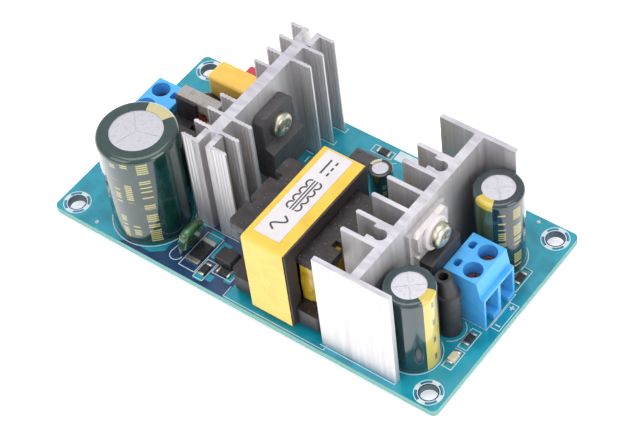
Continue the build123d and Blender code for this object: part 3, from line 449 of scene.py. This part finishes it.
def phenolic_material():
    """Moulded phenolic of the bobbin: brown-black, with pale flecks of its filler and a worn shine."""
    material, tree = start_material("moulded_phenolic")
    at = add(tree, "ShaderNodeTexCoord").outputs["Object"]
    ground, gloss, bump = surface(tree, at, (2.2, 3.0, [(0.35, "#241F20"), (0.65, "#362F31")]),
                                  (0.8, 3.0, 0.28, 0.5), (0.35, 3.0, 0.03, 1.0))
    # Flecks of filler, drawn a little coarser than real so that they show
    cells = add(tree, "ShaderNodeTexVoronoi", inputs={"Vector": at, "Scale": 1 / (0.55 * MM)})
    fleck = add(tree, "ShaderNodeValToRGB", stops=[(0.10, (1, 1, 1, 1)), (0.22, (0, 0, 0, 1))],
                inputs={"Fac": cells.outputs["Distance"]})
    patches = add(tree, "ShaderNodeTexNoise", inputs={"Vector": at, "Scale": 1 / (0.9 * MM), "Detail": 3.0})
    rare = add(tree, "ShaderNodeMath", operation="GREATER_THAN", inputs={0: patches, 1: 0.53})
    amount = add(tree, "ShaderNodeMath", operation="MULTIPLY", inputs={0: fleck, 1: rare})
    colour = add(tree, "ShaderNodeMix", data_type="RGBA", inputs={
        "Factor": amount, MIX_FIRST: ground, MIX_SECOND: tone("#8C8380")}).outputs[MIX_RESULT]
    close_material(tree, Base_Color=colour, Roughness=gloss, Normal=bump)
    return material


moulded_phenolic = phenolic_material()


def sleeve_material(name, capacitor, colours, stripe, rows):
    """Shrunk PVC film, glossy, with its polarity stripe and plain printed bars.

    capacitor is its x, y, radius and height in mm. stripe is its middle angle and width in degrees, its
    colour, its colour on the rim and the height where the rim starts. rows are the prints along the can:
    angle, height round the can, pitch and length of the groups along it, ink, and the share of bars
    that stay empty in a group. A share below zero draws one plain mark in place of the bars.
    """
    x_centre, y_centre, radius, height = capacitor
    material, tree = start_material(name)
    at = add(tree, "ShaderNodeTexCoord").outputs["Object"]
    places = add(tree, "ShaderNodeMapping", inputs={
        "Vector": at, "Location": (-x_centre * MM, -y_centre * MM, -BOARD * MM)})
    x, y, z = add(tree, "ShaderNodeSeparateXYZ", inputs={"Vector": places}).outputs
    millimetres = add(tree, "ShaderNodeMath", operation="MULTIPLY", inputs={0: z, 1: 1 / MM})

    def strip(angle, width):
        """A strip along the can, from its middle angle and its width in degrees."""
        spin = radians(angle)
        x_along, y_along, x_across, y_across = [
            add(tree, "ShaderNodeMath", operation="MULTIPLY", inputs={0: axis, 1: factor})
            for axis, factor in ((x, cos(spin)), (y, sin(spin)), (x, sin(spin)), (y, cos(spin)))]
        along = add(tree, "ShaderNodeMath", operation="ADD", inputs={0: x_along, 1: y_along})
        across = add(tree, "ShaderNodeMath", operation="SUBTRACT", inputs={0: y_across, 1: x_across})
        turned = add(tree, "ShaderNodeMath", operation="ARCTAN2", inputs={0: across, 1: along})
        away = add(tree, "ShaderNodeMath", operation="MULTIPLY", inputs={0: turned, 1: degrees(1)})
        return add(tree, "ShaderNodeMath", operation="COMPARE", inputs={0: away, 1: 0.0, 2: width / 2})

    angle, width, colour, rim_colour, rim_height = stripe
    band = strip(angle, width)
    raised = add(tree, "ShaderNodeMath", operation="GREATER_THAN", inputs={0: millimetres, 1: rim_height})
    rim = add(tree, "ShaderNodeMath", operation="MULTIPLY", inputs={0: band, 1: raised})
    layers = [(band, colour), (rim, rim_colour)]

    # The bars stand one to a cell, and the print keeps clear of the can's ends
    cell, bar, bare_end = 0.6, 0.4, 1.2
    cells = add(tree, "ShaderNodeMath", operation="MULTIPLY", inputs={0: millimetres, 1: 1 / cell})
    number = add(tree, "ShaderNodeMath", operation="FLOOR", inputs={0: cells})
    in_cell = add(tree, "ShaderNodeMath", operation="MODULO", inputs={0: millimetres, 1: cell})
    in_bar = add(tree, "ShaderNodeMath", operation="COMPARE", inputs={0: in_cell, 1: bar / 2, 2: bar / 2})
    in_print = add(tree, "ShaderNodeMath", operation="COMPARE", inputs={
        0: millimetres, 1: height / 2, 2: height / 2 - bare_end})
    for angle, tall, pitch, length, ink, empty in rows:
        run = add(tree, "ShaderNodeMath", operation="MODULO", inputs={0: millimetres, 1: pitch})
        group = add(tree, "ShaderNodeMath", operation="COMPARE", inputs={0: run, 1: pitch / 2, 2: length / 2})
        masks = [strip(angle, degrees(tall / radius)), group, in_print]
        if empty >= 0:
            # Chance leaves some bars out, and the angle makes it another one in each row
            seed = add(tree, "ShaderNodeMath", operation="ADD", inputs={0: number, 1: angle})
            chance = add(tree, "ShaderNodeTexWhiteNoise", noise_dimensions="1D", inputs={"W": seed})
            drawn = add(tree, "ShaderNodeMath", operation="GREATER_THAN", inputs={0: chance, 1: empty})
            masks += [in_bar, drawn]
        mark = masks[0]
        for mask in masks[1:]:
            mark = add(tree, "ShaderNodeMath", operation="MULTIPLY", inputs={0: mark, 1: mask})
        layers.append((mark, ink))

    base, gloss, bump = surface(tree, places, (4.0, 3.0, [(0.35, colours[0]), (0.65, colours[1])]),
                                (2.0, 3.0, 0.14, 0.22), (3.5, 3.0, 0.03, 0.6))
    for amount, colour in layers:
        base = add(tree, "ShaderNodeMix", data_type="RGBA", inputs={
            "Factor": amount, MIX_FIRST: base, MIX_SECOND: tone(colour)}).outputs[MIX_RESULT]
    close_material(tree, Base_Color=base, Roughness=gloss, Normal=bump, Coat_Weight=0.9, Coat_Roughness=0.08)
    return material


# Dark bottle-green film with cream print
bulk_film = sleeve_material("bulk_sleeve_film", BULK, ("#0D2C2A", "#143A37"),
                            (84.5, 49.0, "#BDB385", "#BDB385", 24.0),
                            [(-45.0, 2.3, 10.4, 9.2, "#A39E63", 0.3), (-70.0, 1.5, 10.4, 5.4, "#A39E63", 0.3),
                             (-88.0, 1.3, 10.4, 7.4, "#A39E63", 0.3)])
# The same film on the output capacitors, with yellow print, stripe and minus marks
front_film = sleeve_material("front_sleeve_film", FRONT_CAPACITOR, ("#122C30", "#1C3C40"),
                             (FRONT_STRIPE, 46.0, "#CDB956", "#CBB545", 19.4),
                             [(FRONT_STRIPE + 2.0, 0.7, 5.3, 1.7, "#6E6F60", -1.0),
                              (-100.0, 1.5, 7.4, 6.0, "#A79D50", 0.3)])
back_film = sleeve_material("back_sleeve_film", BACK_CAPACITOR, ("#0F2228", "#182F36"),
                            (BACK_STRIPE, 46.4, "#4C5A38", "#C4AE3C", 19.4),
                            [(-51.0, 1.5, 7.4, 6.0, "#A79D50", 0.3), (-14.0, 1.9, 7.4, 6.2, "#A79D50", 0.3)])
# Black film with a cream edge band
control_film = sleeve_material("control_sleeve_film", CONTROL_CAPACITOR, ("#17181A", "#232528"),
                               (150.0, 70.0, "#8C8768", "#C9C3A4", 9.6),
                               [(-40.0, 0.9, 4.6, 3.6, "#8C8768", 0.5)])


def winding_tape_material():
    """Glossy yellow polyester tape, crumpled over the layers of wire below."""
    material, tree = start_material("wound_polyester_tape")
    at = add(tree, "ShaderNodeTexCoord").outputs["Object"]
    stops = [(0.3, "#A17D14"), (0.5, "#C7A428"), (0.7, "#D6B83C")]
    colour, gloss, bump = surface(tree, at, (3.0, 3.0, stops), (1.0, 3.0, 0.08, 0.24), (1.6, 2.0, 0.35, 1.0))
    close_material(tree, Base_Color=colour, Roughness=gloss, Normal=bump, Coat_Weight=0.4,
                   Coat_Roughness=0.05)
    return material


wound_tape = winding_tape_material()


def dipped_epoxy_material():
    """Dipped green epoxy: glossy, darker where the dip is thick and clearer where it ran thin."""
    material, tree = start_material("dipped_green_epoxy")
    at = add(tree, "ShaderNodeTexCoord").outputs["Object"]
    stops = [(0.32, "#163A20"), (0.54, "#1F4F2A"), (0.70, "#2D693A")]
    colour, gloss, bump = surface(tree, at, (2.0, 3.0, stops), (1.2, 3.0, 0.06, 0.16), (1.5, 3.0, 0.08, 0.8))
    close_material(tree, Base_Color=colour, Roughness=gloss, Normal=bump, Coat_Weight=0.8,
                   Coat_Roughness=0.04, Subsurface_Weight=0.15, Subsurface_Radius=(0.0004, 0.0012, 0.0005),
                   Subsurface_Scale=1.0)
    return material


dipped_epoxy = dipped_epoxy_material()


# Circuit board: laminate with mask, copper areas that show through it, and the white legend

board = cad_copy("circuit_board", "circuit_board_dressed")
paint(board, routed_laminate)
paint_where(board, mask_on_laminate, lambda place, normal: abs(normal.z) > 0.9)
# The upright faces further in than this are the walls of holes
NEAR_EDGE = 1.5
# The walls of holes take the laminate darkened with painted shade
paint_where(board, hole_wall_painted_shade, lambda place, normal: abs(normal.z) < 0.9
            and abs(place.x) < EDGE_X - NEAR_EDGE and abs(place.y) < EDGE_Y - NEAR_EDGE)
mount(board, "circuit_board", hide=True)


def on_board(name, outlines, height, material):
    """A flat layer of one height on the board's printed side."""
    piece = flat_shape(name, outlines, BOARD, BOARD + height)
    return mount(piece, "circuit_board", material)


def board_corner(x_side, y_side, start):
    """The copper's outline in a corner of the board, just inside the edge."""
    return ring(x_side * (EDGE_X - EDGE_RADIUS), y_side * (EDGE_Y - EDGE_RADIUS), EDGE_RADIUS - 0.03, 6,
                start, 90)


def hole_gaps(side):
    """The openings in the copper round the holes of one end."""
    return [ring(x, y, 2.5) for x, y in HOLES if x * side > 0]


left_pour = [*board_corner(-1, -1, 180), (-30.5, -25.62), (-29.0, -24.4), (-23.0, -24.4), (-20.6, -22.6),
             (-20.6, -7.0), (-16.6, -7.0), (-16.6, 24.2), (-14.0, 25.62), *board_corner(-1, 1, 90)]
right_pour = [(-3.0, -25.62), *board_corner(1, -1, 270), *board_corner(1, 1, 0), (-12.4, 25.62),
              (-14.8, 24.0), (-14.8, 11.0), (-6.0, 8.6), (-6.0, -13.0), (-3.0, -15.0)]
on_board("copper_area_input", [left_pour] + hole_gaps(-1), COPPER, mask_on_copper)
on_board("copper_area_output", [right_pour] + hole_gaps(1), COPPER, mask_on_copper)
tracks = [
    rectangle(-19.4, -17.2, -13.2, -9.0), rectangle(-15.6, -12.4, -17.2, -13.0),
    rectangle(-11.6, -9.4, -18.9, -14.2), rectangle(-11.5, -9.5, -24.9, -23.4),
    rectangle(-9.0, -7.6, -24.0, -22.4), rectangle(-5.6, -4.0, -22.4, -16.4),
]
on_board("copper_tracks_front", tracks, COPPER, mask_on_copper)

# Copper on the underside, under the same mask: mains side, then output side
underside_input = [
    [(-46.0, -3.2), (-35.4, -3.2), (-35.4, 0.6), (-40.6, 0.6), (-40.6, 9.6), (-36.1, 9.6), (-36.1, 12.8),
     (-46.0, 12.8)],
    [(-39.0, 2.2), (-31.9, 2.2), (-31.9, 7.6), (-33.9, 8.2), (-33.9, 13.4), (-32.9, 14.2), (-32.9, 17.4),
     (-36.4, 17.4), (-36.4, 14.0), (-35.3, 13.2), (-35.3, 8.4), (-39.0, 7.6)],
    [(-33.1, 9.8), (-30.4, 9.8), (-28.9, 18.6), (-28.9, 22.8), (-32.6, 22.8), (-32.6, 18.2), (-32.1, 17.6),
     (-32.1, 13.8), (-33.1, 12.9)],
    rectangle(-27.6, -22.6, 4.2, 22.8),
    [(-34.6, -1.6), (-34.6, 1.4), (-31.6, 1.4), (-31.0, -1.2), (-28.2, -3.0), (-28.2, -6.0), (-31.4, -6.0),
     (-31.4, -2.6), (-32.4, -1.6)],
    [(-27.4, -6.0), (-24.4, -6.0), (-24.4, -2.4), (-23.4, -1.4), (-23.4, 1.6), (-27.4, 1.6)],
    [(-47.2, -4.1), (-35.6, -4.1), (-35.0, -2.9), (-32.2, -2.9), (-32.2, -17.0), (-19.4, -17.0),
     (-19.4, -18.3), (-0.1, -18.3), (-0.1, -24.9), (-40.4, -24.9), (-40.4, -18.4), (-47.2, -18.4)],
    [(-31.4, -16.1), (-31.4, -6.9), (-23.6, -6.9), (-23.6, -2.9), (-21.6, -2.9), (-21.6, 24.6), (-9.3, 24.6),
     (-9.3, 7.75), (-12.6, 7.75), (-12.6, -11.2), (-16.2, -13.6), (-19.6, -13.9), (-19.6, -16.1)],
    [(-11.9, 5.2), (-11.9, 7.2), (-6.0, 7.2), (-6.0, 0.6), (-0.1, 0.6), (-0.1, -2.6), (-8.2, -2.6),
     (-8.2, 3.0), (-9.8, 5.2)],
    rectangle(-18.6, -0.2, -17.4, -14.6), rectangle(-10.6, -0.3, -12.4, -9.6),
    rectangle(-10.6, -0.3, -7.4, -4.6), rectangle(-12.0, -9.2, 2.9, 4.5), rectangle(-8.2, -1.2, 15.0, 16.7),
    rectangle(-8.2, -1.2, 17.5, 19.2),
]
underside_output = [
    [(17.8, -24.9), (32.6, -24.9), (32.6, -8.4), (35.8, -6.4), (35.8, -4.2), (32.7, -4.2), (29.6, -7.6),
     (25.0, -10.0), (22.4, -13.6), (17.8, -13.6)], ring(28.05, -12.23, 1.9),
    [(33.4, -3.4), (33.4, -1.8), (36.0, -1.8), (37.9, -4.0), (37.9, -7.6), (41.4, -7.6), (41.4, -11.2),
     (38.6, -11.2), (38.6, -14.9), (35.0, -14.9), (35.0, -11.8), (36.5, -9.6), (36.7, -4.2), (36.0, -3.4)],
    rectangle(33.3, 35.6, -1.05, 1.0),
    [(38.6, -6.9), (47.2, -6.9), (47.2, 12.2), (35.9, 12.2), (35.9, 2.0), (42.0, 2.0), (42.0, -4.8),
     (38.6, -4.8)],
    [(36.6, -1.3), (38.7, -3.7), (41.2, -3.7), (41.2, 1.2), (36.6, 1.2)],
    [(33.5, -24.9), (40.4, -24.9), (40.4, -18.4), (47.2, -18.4), (47.2, -7.9), (42.3, -7.9), (42.3, -12.0),
     (39.5, -12.0), (39.5, -15.8), (33.5, -15.8)],
    [(17.8, -12.8), (21.9, -12.8), (24.6, -9.2), (29.2, -6.8), (32.4, -3.4), (32.4, 1.8), (35.1, 1.8),
     (35.1, 13.2), (47.2, 13.2), (47.2, 18.4), (40.4, 18.4), (40.4, 24.9), (14.0, 24.9), (14.0, 14.0),
     (17.8, 10.0)],
    rectangle(10.1, 13.2, 10.6, 13.0), rectangle(7.0, 9.5, 10.6, 14.2), rectangle(5.0, 13.2, 17.5, 19.2),
    rectangle(5.0, 11.2, 15.0, 16.7),
]
for name, outlines in (("copper_underside_input", underside_input),
                       ("copper_underside_output", underside_output)):
    mount(flat_shape(name, outlines, -COPPER, 0.0), "circuit_board", mask_on_copper)


def hole_legend():
    """A printed ring round each hole, with four windows in it."""
    half_window = 27
    outlines = []
    for x, y in HOLES:
        outlines += [ring(x, y, 3.0, 64), ring(x, y, 2.08, 64)]
        for middle in (45, 135, 225, 315):
            outlines.append(sector(x, y, 2.27, 2.84, middle - half_window, 2 * half_window))
    return outlines


def circle_line(x, y, radius, width=LINE, start=0.0, sweep=360.0):
    if sweep == 360.0:
        return [ring(x, y, radius + width / 2, 72), ring(x, y, radius - width / 2, 72)]
    return [sector(x, y, radius - width / 2, radius + width / 2, start, sweep, 24)]


def frame_line(x0, x1, y0, y1):
    return stroke(rectangle(x0, x1, y0, y1), LINE, closed=True)


legend = hole_legend()
for x, y, radius, height in (BULK, FRONT_CAPACITOR, BACK_CAPACITOR):
    legend += circle_line(x, y, radius + 0.35)
legend += circle_line(39.4, -7.45, 3.2, start=-70, sweep=130)
for frame_box in (
        (-16.05, -12.0, -23.7, -13.9), (-11.65, -9.3, -24.6, -19.55), (-9.0, -4.1, -21.75, -19.4),
        (-0.9, 4.15, 22.0, 24.0), (43.0, 45.2, 6.8, 12.9), (43.0, 45.1, -10.35, -5.2),
        (43.0, 45.1, -15.75, -10.9)):
    legend += frame_line(*frame_box)
for path, width in (
        ([(-3.3, -22.6), (-3.3, -25.25), (21.6, -25.25), (21.6, -22.8)], LINE),
        ([(-19.3, -12.6), (-9.0, -12.6)], LINE),
        ([(-8.4, 24.55), (-8.4, 23.2), (-12.2, 23.2)], LINE),
        ([(-8.4, 20.4), (-8.4, 19.1), (-12.2, 19.1)], LINE),
        ([(-10.4, 14.8), (-12.6, 14.8)], LINE),
        ([(-10.8, 12.0), (-10.8, 13.8)], 0.3),
        ([(20.3, -24.4), (37.9, -24.4), (37.9, -23.2)], LINE),
        ([(35.9, -4.15), (45.5, -4.15), (45.5, 6.27), (35.9, 6.27)], LINE),
        ([(-18.4, -15.4), (-18.9, -17.0)] + ring(-18.0, -21.95, 1.42, 14, 175, 185), LINE)):
    legend += stroke(path, width)
# The bare box on the back edge, and the output's strip with its minus and plus
legend += [rectangle(4.6, 12.0, 22.55, 25.2)]
legend += frame_line(45.75, 47.75, -3.05, 4.05) + stroke([(46.2, -2.05), (47.3, -2.05)], 0.3)
legend += stroke([(46.2, 3.05), (47.3, 3.05)], 0.3)
legend += [rectangle(46.6, 46.9, 3.2, 3.6), rectangle(46.6, 46.9, 2.5, 2.9)]
legend += circle_line(6.0, 20.8, 1.0, LINE, 100, 150) + circle_line(-34.7, 11.2, 4.6, 0.2, 150, 110)
on_board("white_legend", legend, PRINT, legend_ink)

bare_pads = [ring(-37.5, -24.2, 0.42, 24), ring(39.3, 24.3, 0.42, 24), ring(-12.0, 22.2, 0.3, 20)]
pads = on_board("tinned_vias", bare_pads, PAD, solder)

# Heatsinks and what holds the power devices

dress("primary_heatsink", extruded_aluminium, 0.05, 50, ends=sawn_aluminium)
dress("secondary_heatsink", extruded_aluminium, 0.06, 50, ends=sawn_aluminium)
dress("heatsink_pins", tinned_steel, 0.1)
dress("heatsink_screws", zinc_plated_steel, 0.07, 40)
dress("switching_transistor", moulded_epoxy, 0.12, 30)
dress("transistor_legs", tinned_copper, 0.05)
dress("rectifier_tab", tinned_tab, 0.06)
dress("rectifier_body", dark_epoxy, 0.1, 30)
dress("rectifier_legs", tinned_copper, 0.05)
dress("rectifier_pad", silicone_pad, 0.05)
dress("rectifier_bush", nylon, 0.06)

# Transformer

dress("transformer_core_upper", ground_ferrite, 0.18, 50)
dress("transformer_core_lower", ground_ferrite, 0.18, 50)
dress("transformer_bobbin", moulded_phenolic, 0.12, 40)
dress("transformer_pins", tinned_copper, 0.08)
dress("transformer_tape", polyester_tape, 0.05, 40)
dress("transformer_label", label_paper, 0.03, 40)


def wound_roll():
    """The winding: its solid, subdivided and pressed into flats and folds as tape lies over wire."""
    piece = cad_copy("transformer_winding", "transformer_winding_dressed")
    apply_modifier(piece, "REMESH", mode="VOXEL", voxel_size=0.35 * MM, use_smooth_shade=True)
    texture = bpy.data.textures.new("folds", "CLOUDS")
    texture.noise_scale = 0.0042
    apply_modifier(piece, "DISPLACE", texture=texture, strength=0.5 * MM, mid_level=0.75,
                   texture_coords="LOCAL")
    smooth(piece, 40)
    return mount(piece, "transformer_winding", wound_tape, hide=True)


wound_roll()


def label_signs():
    """Three plain signs, as in any circuit: alternating current, transformer, direct current."""

    def to_label(points):
        # Signs are drawn with their length along u and their height along v, and read from the front
        return [(LABEL_MIDDLE[0] - v, LABEL_MIDDLE[1] + u) for u, v in points]

    bold, thin = 0.42, 0.32
    wave = [(-9.9 + 0.16 * step, 1.25 * sin(step / 24 * 2 * pi)) for step in range(25)]
    lines = stroke(to_label(wave), bold)
    for side in (-1, 1):
        for turn in range(4):
            # Each turn is a half ring of its own, and its ends stand on the next one's
            middle = -3.15 + turn * 2.1
            half_ring = sector(middle, side * 0.75, 0.66, 1.05, 0 if side > 0 else 180, 180, 16)
            lines.append(to_label(half_ring))
    for v in (-0.32, 0.32):
        lines += stroke(to_label([(-4.2, v), (4.2, v)]), thin)
    lines += stroke(to_label([(6.2, 0.75), (10.2, 0.75)]), bold)
    for u in (6.2, 7.75, 9.3):
        lines += stroke(to_label([(u, -0.75), (u + 0.9, -0.75)]), bold)
    return lines


label_top = BOARD + CORE_BOTTOM + 2 * CORE_HALF_HEIGHT + TAPE + LABEL
signs = flat_shape("transformer_label_signs", label_signs(), label_top - 0.01, label_top + 0.012)
mount(signs, "transformer_label", label_ink)

# Electrolytic capacitors

for node, film in (("bulk_capacitor", bulk_film), ("front_output_capacitor", front_film),
                   ("back_output_capacitor", back_film), ("control_capacitor", control_film)):
    dress(node + "_can", drawn_aluminium, 0.04, 40)
    dress(node + "_sleeve", film, 0.05, 50)

# Screw terminals

for side in ("input", "output"):
    dress(side + "_terminal_housing", moulded_polyamide, 0.12, 40)
    dress(side + "_terminal_contacts", tinned_copper, 0.05)
    for number in ("1", "2"):
        dress(side + "_clamp_" + number, tinned_steel, 0.06)
        # The screws' dark red is painted reflection and painted shade from their wells
        dress(side + "_clamp_screw_" + number, screw_steel_painted_well_reflection, 0.06)

# Line input: safety capacitor, fuse, thermistor, bridge and filter choke

dress("safety_capacitor", orange_plastic, 0.0)
dress("fuse", red_plastic, 0.0)
dress("inrush_thermistor", dipped_silicone, 0.0)
dress("bridge_rectifier", dark_epoxy, 0.12, 30)
dress("filter_choke_core", pale_ferrite, 0.2, 50)
windings = dress("filter_choke_windings", enamelled_copper, 0.1)
# The right coil's roll makes room for its wire
paint_where(windings, heat_shrink, lambda place, normal: place.x < LEFT_COIL_END)
choose_faces(windings, lambda place: place.x > LEFT_COIL_END)
bpy.ops.transform.shrink_fatten(value=-WIRE_RADIUS * MM)
put_down()


def wire_turns():
    """The right coil's wire: turns side by side round it, and rings of turns over both ends."""
    left, right, front, back, low, high = RIGHT_COIL
    count = 12
    pitch = (high - low - 2 * WIRE_RADIUS) / (count - 1)
    turns = [(WIRE_RADIUS, low + WIRE_RADIUS + pitch * turn) for turn in range(count)]
    for layer in (1, 2):
        turns += [(WIRE_RADIUS + layer * 2 * WIRE_RADIUS, end)
                  for end in (low + WIRE_RADIUS, high - WIRE_RADIUS)]
    loops = []
    for inset, z in turns:
        corner = max(0.3, 0.8 - inset)
        reach = inset + corner
        path = []
        for start, (x, y) in enumerate([(right - reach, back - reach), (left + reach, back - reach),
                                        (left + reach, front + reach), (right - reach, front + reach)]):
            path += ring(x, y, corner, 4, start * 90, 90)
        loops.append((z, path))
    piece = from_loops("filter_choke_wire", loops, "3D", bevel_depth=WIRE_RADIUS * MM, bevel_resolution=2)
    settle(piece, "filter_choke_wire")
    smooth(piece, 60)
    return mount(piece, "filter_choke_windings", enamelled_copper)


wire_turns()
dress("filter_choke_bobbin", moulded_phenolic, 0.1)


def dipped_drop():
    """The film capacitor: its solid with a soft skin, as a dip leaves it."""
    piece = cad_copy("film_capacitor", "film_capacitor_dressed")
    apply_modifier(piece, "REMESH", mode="VOXEL", voxel_size=0.22 * MM, use_smooth_shade=True)
    apply_modifier(piece, "SMOOTH", factor=0.6, iterations=8)
    smooth(piece, 60)
    return mount(piece, "film_capacitor", dipped_epoxy, hide=True)


dipped_drop()

# Small parts

dress("optocoupler", moulded_epoxy, 0.08, 30)
dress("output_choke_core", ground_ferrite, 0.1)
dress("output_choke_sleeve", heat_shrink, 0.12, 40)
dress("chip_resistors", chip_glass, 0.06)
dress("indicator_led", led_resin, 0.12)
dress("snubber_diode", dark_epoxy, 0.08, 30)
dress("chip_end_caps", tinned_copper, 0.06)
dress("component_leads", tinned_copper, 0.08)
dress("solder_joints", solder, 0.15)

# Floor, light and camera

# White paper sweep, matt: it glows a little, so that it stays white away from the lights.
floor_material, floor_tree = start_material("white_paper_sweep")
floor_at = add(floor_tree, "ShaderNodeTexCoord").outputs["Object"]
floor_clouds = add(floor_tree, "ShaderNodeTexNoise", inputs={
    "Vector": floor_at, "Scale": 1 / (300.0 * MM), "Detail": 3.0})
floor_colour = add(floor_tree, "ShaderNodeValToRGB", stops=[(0.3, "#F4F4F4"), (0.7, "#FAFAFA")],
                   inputs={"Fac": floor_clouds})
close_material(floor_tree, Base_Color=floor_colour, Roughness=0.9, Emission_Color=(1, 1, 1, 1),
               Emission_Strength=0.5)
put_down()
FLOOR_GAP = 0.05
bpy.ops.mesh.primitive_plane_add(size=8, location=(0, 0, cad_low.z - FLOOR_GAP * MM))
floor = settle(bpy.context.object, "floor")
paint(floor, floor_material)


def soft_box(name, place, size, power):
    """A white lamp with a wide face, aimed at the middle of the part. Lengths are in metres."""
    lamp = bpy.data.lights.new(name, "AREA")
    lamp.shape = "RECTANGLE"
    lamp.size, lamp.size_y = size
    lamp.energy = power
    holder = bpy.data.objects.new(name, lamp)
    bpy.context.scene.collection.objects.link(holder)
    holder.location = place
    aim = Vector((0.0, 0.0, 0.01))
    holder.rotation_euler = (aim - Vector(place)).to_track_quat("-Z", "Y").to_euler()


soft_box("key_front_left", (-0.16, -0.62, 0.42), (0.55, 0.5), 1.6)
soft_box("top", (-0.06, 0.05, 0.75), (0.6, 0.6), 2.3)
soft_box("fill_right", (0.65, -0.05, 0.30), (0.4, 0.4), 1.6)

world = bpy.data.worlds.new("studio")
bpy.context.scene.world = world
world.use_nodes = True
world.node_tree.nodes.clear()
around = add(world.node_tree, "ShaderNodeTexCoord").outputs["Generated"]
up = add(world.node_tree, "ShaderNodeSeparateXYZ", inputs={"Vector": around}).outputs[2]
sky = add(world.node_tree, "ShaderNodeValToRGB", stops=[(0.0, "#C4C4C6"), (0.5, "#F4F4F6")],
          inputs={"Fac": up})
background = add(world.node_tree, "ShaderNodeBackground", inputs={"Color": sky, "Strength": 0.92})
add(world.node_tree, "ShaderNodeOutputWorld", inputs={"Surface": background.outputs[0]})

camera_data = bpy.data.cameras.new("camera")
camera_data.lens = 118.39
camera_data.sensor_width = 36.0
camera = bpy.data.objects.new("camera", camera_data)
bpy.context.scene.collection.objects.link(camera)
camera.location = (0.18933, -0.20442, 0.32944)
camera.rotation_euler = (radians(40.254), radians(5.024), radians(36.51))
bpy.context.scene.camera = camera
bpy.context.scene.view_settings.view_transform = "Standard"

put_down()
